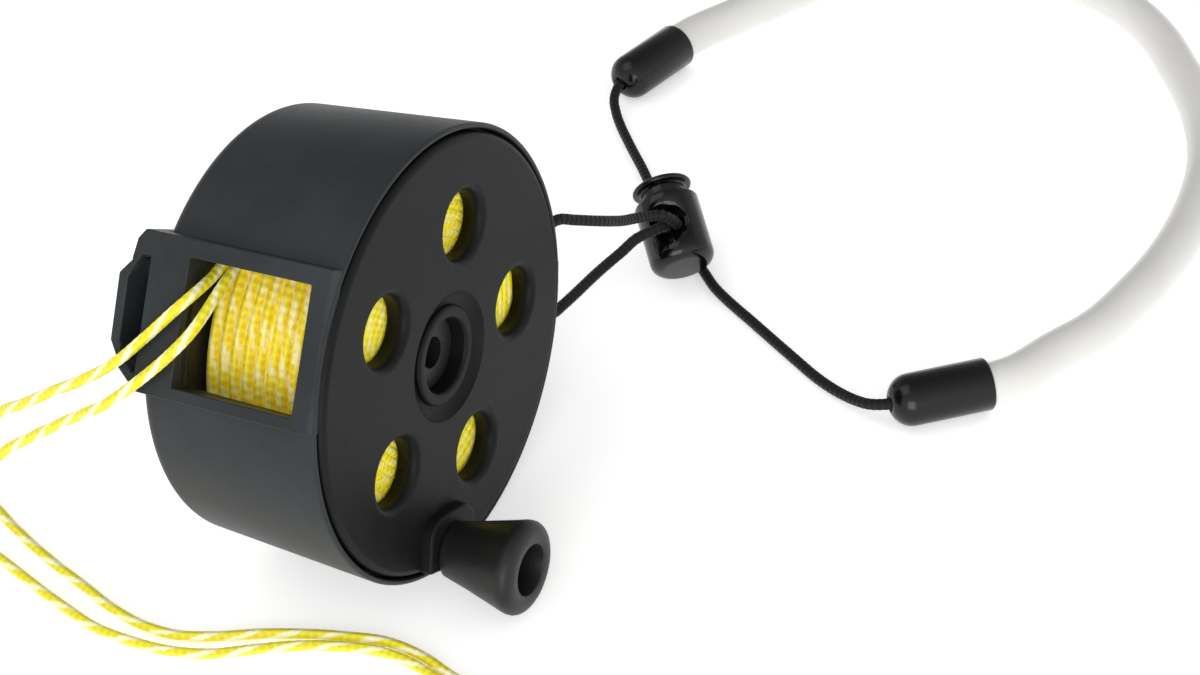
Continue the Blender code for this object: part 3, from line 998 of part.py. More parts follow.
def build():
    """Make every piece of the reel."""
    clear_scene()
    looks = {
        'black': material('black moulded plastic', (0.012, 0.013, 0.014), 0.42),
        'gloss': material('glossy black plastic', (0.008, 0.008, 0.009), 0.18),
        'rubber': material('glossy black rubber', (0.008, 0.008, 0.009), 0.22),
        'line': material('yellow line', (0.82, 0.66, 0.03), 0.65),
        'cord': material('black cord', (0.010, 0.010, 0.011), 0.70),
        'tube': material('pale tube', (0.86, 0.87, 0.86), 0.25),
        'steel': material('steel', (0.55, 0.56, 0.57), 0.30, 1.0),
        'brass': material('brass', (0.60, 0.44, 0.16), 0.30, 1.0),
        'nylon': material('white nylon', (0.80, 0.79, 0.75), 0.45),
    }
    reel = make_reel_frame()
    bpy.context.view_layer.update()
    reel_matrix = reel.matrix_world.copy()
    eye_middle, eye_reach = make_housing(reel, looks['black'])
    make_crank_wheel(reel, looks['black'])
    make_spool(reel, looks['black'])
    make_axle_set(reel, looks)
    make_knob_set(reel, looks)
    make_winding(reel, looks)
    make_free_line(reel_matrix, looks['line'])
    lock_frame = make_lock_frame()
    bpy.context.view_layer.update()
    make_lock(lock_frame, looks)
    far_frame, near_frame = make_wrist_loop(looks)
    make_lanyard(reel_matrix, eye_middle, eye_reach, lock_frame.matrix_world.copy(), far_frame,
                 near_frame, looks)


build()
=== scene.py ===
"""Dive reel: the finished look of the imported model.

Lengths are in metres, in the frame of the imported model. The reel's own frame has its axis
along Y and its open front toward -Y; it is turned and leaned onto one flat of the housing.
A depth is measured back from the housing's front, a clock angle from straight down toward +X.
"""
import math

import bmesh
import bpy
from mathutils import Euler, Matrix, Vector, noise


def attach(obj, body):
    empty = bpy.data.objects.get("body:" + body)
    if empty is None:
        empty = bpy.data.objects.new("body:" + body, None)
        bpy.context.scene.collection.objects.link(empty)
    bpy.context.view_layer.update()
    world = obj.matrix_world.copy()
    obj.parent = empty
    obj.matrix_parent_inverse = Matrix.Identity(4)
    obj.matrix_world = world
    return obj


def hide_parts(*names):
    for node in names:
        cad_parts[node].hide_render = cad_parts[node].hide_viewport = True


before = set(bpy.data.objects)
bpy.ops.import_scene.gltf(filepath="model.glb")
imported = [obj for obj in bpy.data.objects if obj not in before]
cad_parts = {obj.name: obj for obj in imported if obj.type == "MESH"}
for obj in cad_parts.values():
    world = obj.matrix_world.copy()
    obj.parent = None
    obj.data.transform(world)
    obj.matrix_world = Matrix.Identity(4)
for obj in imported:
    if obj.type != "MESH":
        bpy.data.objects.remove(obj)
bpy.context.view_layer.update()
scene = bpy.context.scene

# Camera and studio: the photograph's viewing place, and a sheet of white paper that glows
# faintly for every ray, so it softens the shadow and also lights the object a little from
# below. A wide soft lamp hangs overhead and a stronger one stands low on the left, in a pale
# room that is dimmer on its far side.
CAMERA_PLACE = (-0.255048, -0.202244, 0.320687)
CAMERA_RIGHT = (0.444024, -0.892248, -0.082070)
CAMERA_UP = (0.623784, 0.242067, 0.743167)
LENS_PIXELS = 2327
PICTURE_WIDTH = 1200
SENSOR_WIDTH = 36.0
ROOM_DIM_SIDE = (0.55, 0.33, 0.77)
ROOM_DIMS_FROM = -0.3
ROOM_BRIGHTEST = 1.26
ROOM_DIMMEST = 0.30
LAMP_TARGET = (0.05, -0.02, 0.02)
PAPER_GLOW = 0.42
PAPER_HALF_SIZE = 4.0

view = bpy.data.cameras.new('camera')
view.sensor_width = SENSOR_WIDTH
view.sensor_fit = 'HORIZONTAL'
view.lens = LENS_PIXELS / PICTURE_WIDTH * SENSOR_WIDTH
view.clip_start = 0.01
camera = bpy.data.objects.new('camera', view)
right, up = Vector(CAMERA_RIGHT), Vector(CAMERA_UP)
facing = Matrix((right, up, right.cross(up))).transposed()
camera.matrix_world = Matrix.Translation(CAMERA_PLACE) @ facing.to_4x4()
scene.collection.objects.link(camera)
scene.camera = camera
scene.view_settings.view_transform = 'Standard'


def linear(code):
    """An sRGB hex colour as linear light, with full alpha."""
    parts = [int(code[place:place + 2], 16) / 255 for place in (1, 3, 5)]
    light = [part / 12.92 if part <= 0.04045 else ((part + 0.055) / 1.055) ** 2.4 for part in parts]
    return (*light, 1.0)


def add_node(tree, kind, properties=(), values=(), links=()):
    """Add a shader node, with its properties, the values of its sockets and its links."""
    made = tree.nodes.new(kind)
    for name, value in dict(properties).items():
        setattr(made, name, value)
    for name, value in dict(values).items():
        made.inputs[name].default_value = value
    for name, source in dict(links).items():
        tree.links.new(source, made.inputs[name])
    return made


def start_material(name, colour, roughness, values=()):
    """A new material, and its tree and Principled shader with plain values."""
    made = bpy.data.materials.new(name)
    made.use_nodes = True
    shader = made.node_tree.nodes['Principled BSDF']
    shader.inputs['Base Color'].default_value = linear(colour)
    shader.inputs['Roughness'].default_value = roughness
    for socket, value in dict(values).items():
        shader.inputs[socket].default_value = value
    return made, made.node_tree, shader


def add_lamp(name, place, size, power):
    """A square soft lamp that points at the middle of the object."""
    lamp = bpy.data.lights.new(name, 'AREA')
    lamp.shape = 'SQUARE'
    lamp.size = size
    lamp.energy = power
    made = bpy.data.objects.new(name, lamp)
    aim = (Vector(LAMP_TARGET) - Vector(place)).to_track_quat('-Z', 'Y')
    made.matrix_world = Matrix.Translation(place) @ aim.to_matrix().to_4x4()
    scene.collection.objects.link(made)


room = bpy.data.worlds.new('room')
room.use_nodes = True
room.node_tree.nodes['Background'].inputs['Color'].default_value = (1.0, 1.0, 1.0, 1.0)
room_place = add_node(room.node_tree, 'ShaderNodeTexCoord')
away = add_node(room.node_tree, 'ShaderNodeVectorMath', {'operation': 'DOT_PRODUCT'}, {1: ROOM_DIM_SIDE},
                {0: room_place.outputs['Generated']})
dimmed = add_node(room.node_tree, 'ShaderNodeMapRange',
                  values={'From Min': ROOM_DIMS_FROM, 'To Min': ROOM_BRIGHTEST, 'To Max': ROOM_DIMMEST},
                  links={'Value': away.outputs['Value']})
room.node_tree.links.new(dimmed.outputs['Result'], room.node_tree.nodes['Background'].inputs['Strength'])
scene.world = room
add_lamp('overhead_lamp', place=(-0.20, 0.50, 1.10), size=0.9, power=2.4)
add_lamp('left_lamp', place=(-1.00, -0.45, 0.32), size=0.7, power=4.6)

paper, tree, shader = start_material('white paper', '#fafafa', 0.9, {
    'Specular IOR Level': 0.0, 'Emission Color': linear('#ffffff'), 'Emission Strength': PAPER_GLOW})
ground = bmesh.new()
bmesh.ops.create_grid(ground, x_segments=1, y_segments=1, size=PAPER_HALF_SIZE)
mesh = bpy.data.meshes.new('floor')
ground.to_mesh(mesh)
ground.free()
mesh.materials.append(paper)
floor = bpy.data.objects.new('floor', mesh)
scene.collection.objects.link(floor)

# The lanyard: one thin black braided polyester cord, threaded through an eye that is moulded
# on the far side of the housing. Both of its ends run through the sprung lock and are knotted
# inside the caps of the wrist tube.
HOUSING_FRONT_RADIUS = 0.0425
HOUSING_REAR_RADIUS = 0.0403
HOUSING_DEPTH = 0.0377
HOUSING_SIDES = 60
REST_CLOCK = math.radians(37.9)
GAP = 0.0003
LANYARD_DIAMETER = 0.0023
LANYARD_STITCH = 0.0013
STITCH_RIPPLE = 0.05
YARNS_AROUND = 2
EYE_CLOCK = math.radians(107.7)
EYE_DEPTH = 0.0066
EYE_LENGTH = 0.0080
EYE_STANDOFF = 0.0025
LOCK_FOOT = (0.0746, -0.02926, 0.00719)
LOCK_HEADING = math.radians(40.1)
LOCK_LEAN = math.radians(25.6)
LOCK_ROLL = math.radians(15.7)
LOCK_HOLE_HEIGHT = 0.0082
LOCK_BORE_RADIUS = 0.0051
LOCK_STRAIGHT_SHARES = (0.98, 0.10, -0.72)
CAP_RADIUS = 0.00525
CAP_TIP_WALL = 0.0025
CAP_LENGTH = 0.0200
FAR_CAP_TIP = (0.1312, 0.0138)
FAR_CAP_HEADING = math.radians(-17.5)
NEAR_CAP_TIP = (0.0537, -0.0829)
NEAR_CAP_HEADING = math.radians(-51.6)
LANYARD_SPACING = 0.0042
ROUTE_STEPS = 12
EYE_TO_LOCK_UPPER = ((0.0455, -0.0130, 0.0334), (0.0477, -0.0136, 0.0346), (0.0501, -0.0145, 0.0345),
                     (0.0523, -0.0155, 0.0332), (0.0556, -0.0172, 0.0310), (0.0600, -0.0190, 0.0280),
                     (0.0673, -0.0201, 0.0229))
EYE_TO_LOCK_LOWER = ((0.0402, -0.0137, 0.0191), (0.0413, -0.0141, 0.0168), (0.0434, -0.0146, 0.0153),
                     (0.0458, -0.0150, 0.0149), (0.0503, -0.0157, 0.0146), (0.0557, -0.0163, 0.0142),
                     (0.0613, -0.0170, 0.0138), (0.0669, -0.0184, 0.0139))
LOCK_TO_FAR_CAP = ((0.0947, -0.0151, 0.0017), (0.1002, -0.0100, 0.0012), (0.1055, -0.0054, 0.0012),
                   (0.1090, -0.0023, 0.0012), (0.1157, 0.0040, 0.0012), (0.1228, 0.0104, 0.0019),
                   (0.1270, 0.0134, 0.0038))
LOCK_TO_NEAR_CAP = ((0.0780, -0.0337, 0.0012), (0.0745, -0.0388, 0.0012), (0.0706, -0.0456, 0.0012),
                    (0.0637, -0.0575, 0.0012), (0.0587, -0.0664, 0.0013), (0.0552, -0.0740, 0.0024),
                    (0.0533, -0.0793, 0.0042))
UPPER_STRAND_IN = ((0.0043, 0.0114, 0.0008), (0.0013, 0.0093, 0.0008), (-0.0010, 0.0072, 0.0004))
LOWER_STRAND_IN = ((0.0062, 0.0091, -0.0021), (0.0035, 0.0079, -0.0014), (0.0019, 0.0065, -0.0004))
UPPER_STRAND_OUT = ((-0.00135, -0.0076, -0.0005), (-0.0017, -0.0091, -0.0020),
                    (-0.0022, -0.0093, -0.0042), (-0.00274, -0.0085, -0.0062))
LOWER_STRAND_OUT = ((0.00135, -0.0072, 0.0006), (0.00145, -0.0087, 0.0022), (0.0017, -0.0112, 0.0056))

TAPER = (HOUSING_FRONT_RADIUS - HOUSING_REAR_RADIUS) / HOUSING_DEPTH
SLOPE = math.atan(TAPER * math.cos(math.pi / HOUSING_SIDES))
LIFT = (HOUSING_FRONT_RADIUS + HOUSING_REAR_RADIUS) / 2 * math.cos(math.pi / HOUSING_SIDES) * math.cos(SLOPE)
reel_place = (Matrix.Translation((0, 0, LIFT)) @ Matrix.Rotation(-SLOPE, 4, 'X')
              @ Matrix.Rotation(REST_CLOCK, 4, 'Y'))


def outward(clock):
    """The direction away from the reel's axis at a clock angle."""
    return Vector((math.sin(clock), 0, -math.cos(clock)))


def around(clock):
    """The direction along a circle about the reel's axis."""
    return Vector((math.cos(clock), 0, math.sin(clock)))


def depth(distance):
    """The place along the reel's axis of a depth behind the front of the housing."""
    return distance - HOUSING_DEPTH / 2


def lock_matrix():
    """The lock's place: Z along it from its bottom, Y along its cross hole."""
    level = math.cos(LOCK_LEAN)
    along = Vector((level * math.cos(LOCK_HEADING), level * math.sin(LOCK_HEADING), math.sin(LOCK_LEAN)))
    hole = Matrix.Rotation(-LOCK_ROLL, 3, along) @ (Vector((0, 0, 1)) - along * along.z).normalized()
    return Matrix.Translation(LOCK_FOOT) @ Matrix((hole.cross(along), hole, along)).transposed().to_4x4()


def cap_matrix(tip, heading):
    """A cap's place, with Z from its tip to its open end."""
    return Matrix.Translation((*tip, CAP_RADIUS)) @ Euler((0, math.pi / 2, heading)).to_matrix().to_4x4()


def even_points(dense, spacing):
    """Points at even steps along a dense chain, without its last one."""
    travelled = [0.0]
    for first, second in zip(dense, dense[1:]):
        travelled.append(travelled[-1] + (second - first).length)
    count = max(1, round(travelled[-1] / spacing))
    even, place = [dense[0]], 0
    for number in range(1, count):
        wanted = travelled[-1] * number / count
        while travelled[place + 1] < wanted:
            place += 1
        share = (wanted - travelled[place]) / (travelled[place + 1] - travelled[place])
        even.append(dense[place].lerp(dense[place + 1], share))
    return even


def smooth_route(route, spacing, held=()):
    """Points along a smooth curve through a route, even between its ends and its held places."""
    points = [Vector(point) for point in route]
    points = [points[0] * 2 - points[1]] + points + [points[-1] * 2 - points[-2]]
    dense = []
    for before, start, end, after in zip(points, points[1:], points[2:], points[3:]):
        knots = [0.0]
        for first, second in ((before, start), (start, end), (end, after)):
            knots.append(knots[-1] + math.sqrt((second - first).length))
        for step in range(ROUTE_STEPS):
            place = knots[1] + (knots[2] - knots[1]) * step / ROUTE_STEPS
            first = before.lerp(start, (place - knots[0]) / (knots[1] - knots[0]))
            second = start.lerp(end, (place - knots[1]) / (knots[2] - knots[1]))
            third = end.lerp(after, (place - knots[2]) / (knots[3] - knots[2]))
            first = first.lerp(second, (place - knots[0]) / (knots[2] - knots[0]))
            second = second.lerp(third, (place - knots[1]) / (knots[3] - knots[1]))
            dense.append(first.lerp(second, (place - knots[1]) / (knots[2] - knots[1])))
    dense.append(points[-2])
    stops = [0] + [place * ROUTE_STEPS for place in held] + [len(dense) - 1]
    even = []
    for start, stop in zip(stops, stops[1:]):
        even += even_points(dense[start:stop + 1], spacing)
    return even + [dense[-1]]


def length_of(points):
    """The length of a chain of points."""
    return sum((second - first).length for first, second in zip(points, points[1:]))


def round_cord(name, points, diameter, look, resolution=4, ripple=0.0):
    """A round cord along points, as a curve of one open spline; ripple swells every other point."""
    curve = bpy.data.curves.new(name, 'CURVE')
    curve.dimensions = '3D'
    curve.bevel_depth = diameter / 2
    curve.bevel_resolution = resolution
    curve.use_fill_caps = True
    spline = curve.splines.new('POLY')
    spline.points.add(len(points) - 1)
    for number, (place, point) in enumerate(zip(spline.points, points)):
        place.co = (*point, 1.0)
        place.radius = 1.0 - ripple * (number % 2)
    spline.use_smooth = True
    curve.materials.append(look)
    made = bpy.data.objects.new(name, curve)
    scene.collection.objects.link(made)
    return made


def braid_height(tree, along, across):
    """The height of a braid of crossing yarns: waves along and around a cord, from its UV map."""
    place = add_node(tree, 'ShaderNodeUVMap')
    axes = add_node(tree, 'ShaderNodeSeparateXYZ', links={'Vector': place.outputs['UV']})
    run = add_node(tree, 'ShaderNodeMath', {'operation': 'MULTIPLY'}, {1: along * math.tau},
                   {0: axes.outputs['X']})
    turn = add_node(tree, 'ShaderNodeMath', {'operation': 'MULTIPLY'}, {1: across * math.tau},
                    {0: axes.outputs['Y']})
    waves = []
    for operation in ('ADD', 'SUBTRACT'):
        slant = add_node(tree, 'ShaderNodeMath', {'operation': operation},
                         links={0: run.outputs[0], 1: turn.outputs[0]})
        waves.append(add_node(tree, 'ShaderNodeMath', {'operation': 'SINE'}, links={0: slant.outputs[0]}))
    return add_node(tree, 'ShaderNodeMath', {'operation': 'MULTIPLY_ADD'}, {2: 0.5},
                    {0: waves[0].outputs[0], 1: waves[1].outputs[0]})


def set_ramp(ramp, *stops):
    """Give a colour ramp its two stops, each a place and a colour."""
    for element, (place, colour) in zip(ramp.color_ramp.elements, stops):
        element.position = place
        element.color = colour


def black_braid(length):
    """Black polyester braid: dull round yarns that cross in small diamonds, painted darker in the dips
    between them as shade, with soft sheen.
    """
    made, tree, shader = start_material('braided black polyester', '#0e0e10', 0.72, {
        'Sheen Weight': 0.08, 'Sheen Roughness': 0.4, 'Specular IOR Level': 0.3})
    height = braid_height(tree, length / (2 * LANYARD_STITCH), YARNS_AROUND)
    # Painted shade: the dips between the yarns take the darker colour
    tone = add_node(tree, 'ShaderNodeValToRGB', links={'Fac': height.outputs[0]})
    set_ramp(tone, (0.15, linear('#070708')), (0.85, linear('#161618')))
    tree.links.new(tone.outputs['Color'], shader.inputs['Base Color'])
    bump = add_node(tree, 'ShaderNodeBump', values={'Strength': 0.8, 'Distance': 0.0002},
                    links={'Height': height.outputs[0]})
    tree.links.new(bump.outputs['Normal'], shader.inputs['Normal'])
    return made


lock_place = lock_matrix()
far_place = cap_matrix(FAR_CAP_TIP, FAR_CAP_HEADING)
near_place = cap_matrix(NEAR_CAP_TIP, NEAR_CAP_HEADING)
eye_middle = Vector((0, depth(EYE_DEPTH), 0)) + outward(EYE_CLOCK) * (HOUSING_FRONT_RADIUS + EYE_STANDOFF)
for name, side, free_in, lock_in, lock_out, free_out, cap_place in (
        ('lanyard_cord_upper', 1, EYE_TO_LOCK_UPPER, UPPER_STRAND_IN, UPPER_STRAND_OUT,
         LOCK_TO_NEAR_CAP, near_place),
        ('lanyard_cord_lower', -1, EYE_TO_LOCK_LOWER, LOWER_STRAND_IN, LOWER_STRAND_OUT,
         LOCK_TO_FAR_CAP, far_place)):
    run = around(EYE_CLOCK) * side
    start = [eye_middle + run * (GAP / 2), eye_middle + run * (EYE_LENGTH / 4),
             eye_middle + run * (EYE_LENGTH / 2 + LANYARD_DIAMETER / 2)]
    strand_side = -side * (LANYARD_DIAMETER / 2 + GAP / 2)
    hole_middle = Vector((0, 0, LOCK_HOLE_HEIGHT))
    straight = [Vector((strand_side, LOCK_BORE_RADIUS * share, 0)) for share in LOCK_STRAIGHT_SHARES]
    inside = [Vector(point) for point in lock_in] + straight + [Vector(point) for point in lock_out]
    route = [reel_place @ point for point in start] + list(free_in)
    lock_start = len(route) + len(lock_in)
    route += [lock_place @ (hole_middle + point) for point in inside] + list(free_out)
    cap_start = len(route)
    route += [cap_place @ Vector((0, 0, place)) for place in (0, CAP_TIP_WALL / 2, CAP_TIP_WALL)]
    coarse = smooth_route(route, LANYARD_SPACING, (len(start) - 1, lock_start, lock_start + 2, cap_start))
    points = smooth_route(coarse, LANYARD_STITCH / 2)
    cord = round_cord(name + '_braid', points, LANYARD_DIAMETER, black_braid(length_of(points)),
                      ripple=STITCH_RIPPLE)
    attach(cord, 'housing_and_lanyard')
    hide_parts(name)

# The wrist tube: soft pale plastic tubing of about 9 mm that goes round the wrist. Its two ends
# are pushed into the caps, and it lies on the floor in one wide arc.
TUBE_DIAMETER = 0.0088
TUBE_SPACING = 0.0120
TUBE_STEP = 0.0020
TUBE_SEAT = 0.0077
TUBE_END_HEIGHT = 0.0049
CLOUD_SIZE = 0.0222
WRIST_TUBE_ROUTE = ((0.1590, 0.0050), (0.1687, -0.0013), (0.1765, -0.0058), (0.1905, -0.0160),
                    (0.2020, -0.0310), (0.2080, -0.0490), (0.2073, -0.0680), (0.2015, -0.0838),
                    (0.1890, -0.0979), (0.1790, -0.1047), (0.1675, -0.1120), (0.1506, -0.1185),
                    (0.1331, -0.1206), (0.1170, -0.1199), (0.1006, -0.1165), (0.0876, -0.1122),
                    (0.0773, -0.1064))


def uneven_material(name, colour, roughness, values, size, detail, strength, relief):
    """A material whose surface a noise with patches of one size raises a little."""
    made, tree, shader = start_material(name, colour, roughness, values)
    place = add_node(tree, 'ShaderNodeTexCoord')
    patches = add_node(tree, 'ShaderNodeTexNoise', values={'Scale': 1 / size, 'Detail': detail},
                       links={'Vector': place.outputs['Object']})
    bump = add_node(tree, 'ShaderNodeBump', values={'Strength': strength, 'Distance': relief},
                    links={'Height': patches.outputs['Fac']})
    tree.links.new(bump.outputs['Normal'], shader.inputs['Normal'])
    return made, tree, shader, patches


# Translucent and slightly glossy, clouded unevenly as soft tubing is
tube_look, tree, shader, clouds = uneven_material(
    'clear-white plastic tubing', '#ececeb', 0.28,
    {'Subsurface Weight': 0.25, 'Subsurface Scale': 0.002, 'Subsurface Radius': (1.0, 1.0, 1.0),
     'Coat Weight': 0.15, 'Coat Roughness': 0.1}, CLOUD_SIZE, detail=2.0, strength=0.15, relief=0.0004)
tone = add_node(tree, 'ShaderNodeValToRGB', links={'Fac': clouds.outputs['Fac']})
set_ramp(tone, (0.0, linear('#cfceca')), (1.0, linear('#e3e2de')))
tree.links.new(tone.outputs['Color'], shader.inputs['Base Color'])

inside = [TUBE_SEAT, (TUBE_SEAT + CAP_LENGTH) / 2, CAP_LENGTH + TUBE_DIAMETER / 2]
heights = [TUBE_END_HEIGHT] + [TUBE_DIAMETER / 2] * (len(WRIST_TUBE_ROUTE) - 2) + [TUBE_END_HEIGHT]
route = [far_place @ Vector((0, 0, place)) for place in inside]
route += [(*point, height) for point, height in zip(WRIST_TUBE_ROUTE, heights)]
route += [near_place @ Vector((0, 0, place)) for place in reversed(inside)]
coarse = smooth_route(route, TUBE_SPACING, (len(inside) - 1, len(route) - len(inside)))
tube_points = smooth_route(coarse, TUBE_STEP)
wrist_tube = round_cord('wrist_tubing', tube_points, TUBE_DIAMETER, tube_look, resolution=8)
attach(wrist_tube, 'housing_and_lanyard')
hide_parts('wrist_tube')

# The caps: two dipped black rubber sleeves with domed tips and a small hole for the cord. Each
# is pushed over an end of the tube and holds the cord by a stopper knot inside.
CAP_DOME_LENGTH = 0.0042
CAP_DOME_STEPS = 7
CAP_DOME_START = 0.28
CAP_LIP = ((0.0, 0.0005), (0.0001, 0.0002), (0.0003, 0.0))
CAP_MOUTH_FLARE = 0.0001
CAP_MOUTH_FLARE_DEPTH = 0.0002
CAP_FUNNEL_SHARE = 0.74
CAP_RIPPLE_SIZE = 0.00625
CORD_HOLE_RADIUS = 0.0015
CORD_HOLE_CHAMFER = 0.0003
KNOT_LENGTH = 0.0046
KNOT_CORD_DIAMETER = 0.0021
KNOT_CORD_LENGTH = 0.020
KNOT_POINTS = 48
KNOT_REACH = 0.00092
KNOT_SWING = 0.00045
KNOT_RISE = 0.0011
MERGE_DISTANCE = 0.000001
SMOOTH_ANGLE = 32.0
SMALL_ROUND_STEPS = 72


def finish_mesh(name, shape, look, smooth_angle=SMOOTH_ANGLE):
    """Turn a bmesh into a piece with outward faces and smooth rounds."""
    bmesh.ops.remove_doubles(shape, verts=shape.verts, dist=MERGE_DISTANCE)
    bmesh.ops.recalc_face_normals(shape, faces=shape.faces)
    made = bpy.data.meshes.new(name)
    shape.to_mesh(made)
    shape.free()
    made.shade_smooth()
    made.set_sharp_from_angle(angle=math.radians(smooth_angle))
    made.materials.append(look)
    piece = bpy.data.objects.new(name, made)
    scene.collection.objects.link(piece)
    return piece


def lathe(name, profile, steps, place, look, axis='Z', smooth_angle=SMOOTH_ANGLE):
    """Turn a (radius, along) outline about Z or Y, and set it in its place."""
    shape = bmesh.new()
    corners = [shape.verts.new((radius, 0, along) if axis == 'Z' else (radius, along, 0))
               for radius, along in profile]
    edges = [shape.edges.new(pair) for pair in zip(corners, corners[1:])]
    if profile[0][0] > 0:
        edges.append(shape.edges.new((corners[-1], corners[0])))
    bmesh.ops.spin(shape, geom=corners + edges, cent=(0, 0, 0), axis=(0, 0, 1) if axis == 'Z' else (0, 1, 0),
                   angle=math.tau, steps=steps, use_merge=True)
    bmesh.ops.transform(shape, matrix=place, verts=shape.verts)
    return finish_mesh(name, shape, look, smooth_angle)


# Smooth but not polished, with the slow ripples that dipping leaves
rubber = uneven_material('dipped black rubber', '#050506', 0.20, {'Specular IOR Level': 0.36},
                         CAP_RIPPLE_SIZE, detail=3.0, strength=0.12, relief=0.0003)[0]
cap_bore = TUBE_DIAMETER / 2 + GAP
cap_profile = [(CORD_HOLE_RADIUS, CORD_HOLE_CHAMFER), (CORD_HOLE_RADIUS + CORD_HOLE_CHAMFER, 0)]
dome_top = math.cos(math.pi / 2 * CAP_DOME_START)
for step in range(CAP_DOME_STEPS + 1):
    turn = math.pi / 2 * (CAP_DOME_START + (1 - CAP_DOME_START) * step / CAP_DOME_STEPS)
    cap_profile.append((CAP_RADIUS * math.sin(turn), CAP_DOME_LENGTH * (1 - math.cos(turn) / dome_top)))
cap_profile += [(CAP_RADIUS - inset, CAP_LENGTH - back) for inset, back in CAP_LIP]
cap_profile += [(cap_bore + CAP_MOUTH_FLARE, CAP_LENGTH), (cap_bore, CAP_LENGTH - CAP_MOUTH_FLARE_DEPTH),
                (cap_bore, CAP_DOME_LENGTH), (cap_bore * CAP_FUNNEL_SHARE, CAP_TIP_WALL),
                (CORD_HOLE_RADIUS, CAP_TIP_WALL)]
knot_look = black_braid(KNOT_CORD_LENGTH)
for name, cap_place in (('far', far_place), ('near', near_place)):
    cap = lathe(name + '_cap_dipped', cap_profile, SMALL_ROUND_STEPS, cap_place, rubber)
    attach(cap, 'housing_and_lanyard')
    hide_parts(name + '_cap')
    loops = []
    for number in range(KNOT_POINTS):
        turn = math.tau * number / KNOT_POINTS
        reach = KNOT_REACH + KNOT_SWING * math.cos(3 * turn)
        height = CAP_TIP_WALL + GAP + KNOT_LENGTH / 2 + KNOT_RISE * math.sin(3 * turn)
        loops.append(cap_place @ Vector((reach * math.cos(2 * turn), reach * math.sin(2 * turn), height)))
    knot = round_cord(name + '_stopper_knot', loops, KNOT_CORD_DIAMETER, knot_look)
    knot.data.splines[0].use_cyclic_u = True
    knot.data.use_fill_caps = False
    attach(knot, 'housing_and_lanyard')
    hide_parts(name + '_knot')

# The cord lock: a glossy black moulded barrel with a cross hole for both strands, and a plunger
# that a small coil spring pushes out, so the cord is pinched between them.
LOCK_RADIUS = 0.0069
LOCK_BODY_LENGTH = 0.0156
LOCK_FLOOR = 0.0016
LOCK_BOTTOM_FILLET = 0.0025
LOCK_TOP_ROUND = 0.0007
LOCK_HOLE_HALF_WIDTH = 0.0032
LOCK_HOLE_HALF_HEIGHT = 0.00165
LOCK_DISH = (0.0057, 0.0022, 0.0037)
PLUNGER_RADIUS = 0.0048
PLUNGER_TRAVEL = 0.0022
PLUNGER_BOTTOM = 0.00555
PLUNGER_STANDOFF = 0.0027
PLUNGER_FLANGE_RADIUS = 0.0064
PLUNGER_FLANGE_THICKNESS = 0.0012
PLUNGER_FILLET = 0.0003
SLOT_TOOL_REACH = 0.009
SMEAR_SIZE = 0.00385


def quarter(middle, radius, first, last, steps=5):
    """Points of an arc in an outline, between two angles in degrees."""
    return [(middle[0] + radius * math.cos(math.radians(first + (last - first) * step / steps)),
             middle[1] + radius * math.sin(math.radians(first + (last - first) * step / steps)))
            for step in range(steps + 1)]


def cut(piece, tools):
    """Cut tool shapes out of a piece for good, and remove them."""
    for tool in tools:
        step = piece.modifiers.new('cut', 'BOOLEAN')
        step.operation = 'DIFFERENCE'
        step.object = tool
        step.solver = 'EXACT'
    bpy.context.view_layer.update()
    finished = bpy.data.meshes.new_from_object(piece.evaluated_get(bpy.context.evaluated_depsgraph_get()))
    piece.modifiers.clear()
    piece.data = finished
    for tool in tools:
        bpy.data.objects.remove(tool, do_unlink=True)


def round_edges(piece, width):
    """Round a piece's sharp edges a little, as a mould leaves them."""
    step = piece.modifiers.new('edge rounding', 'BEVEL')
    step.width = width
    step.segments = 3
    step.limit_method = 'ANGLE'
    step.angle_limit = math.radians(35.0)
    step.harden_normals = True
    step.use_clamp_overlap = True
    step.miter_outer = 'MITER_ARC'


def slot_tool(name, low, high):
    """A flat slot with rounded corners through the lock, along its Y."""
    shape = bmesh.new()
    radius = LOCK_HOLE_HALF_HEIGHT
    across = LOCK_HOLE_HALF_WIDTH - radius
    outline = []
    for corner, first in (((across, low + radius), -90), ((across, high - radius), 0),
                          ((-across, high - radius), 90), ((-across, low + radius), 180)):
        outline += quarter(corner, radius, first, first + 90)
    ring = [shape.verts.new((x, -SLOT_TOOL_REACH, LOCK_HOLE_HEIGHT + z)) for x, z in outline]
    bmesh.ops.remove_doubles(shape, verts=shape.verts, dist=MERGE_DISTANCE)
    face = shape.faces.new([corner for corner in ring if corner.is_valid])
    moved = bmesh.ops.extrude_face_region(shape, geom=[face])
    bmesh.ops.translate(shape, verts=[item for item in moved['geom'] if isinstance(item, bmesh.types.BMVert)],
                        vec=(0, 2 * SLOT_TOOL_REACH, 0))
    bmesh.ops.transform(shape, matrix=lock_place, verts=shape.verts)
    return finish_mesh(name, shape, gloss)


# Bright as a polished mould leaves it, with faint smears from handling
gloss, tree, shader, smears = uneven_material(
    'polished black plastic', '#050506', 0.13, {'Specular IOR Level': 0.38}, SMEAR_SIZE, detail=4.0,
    strength=0.06, relief=0.0003)
polish = add_node(tree, 'ShaderNodeMapRange', values={'To Min': 0.09, 'To Max': 0.20},
                  links={'Value': smears.outputs['Fac']})
tree.links.new(polish.outputs['Result'], shader.inputs['Roughness'])

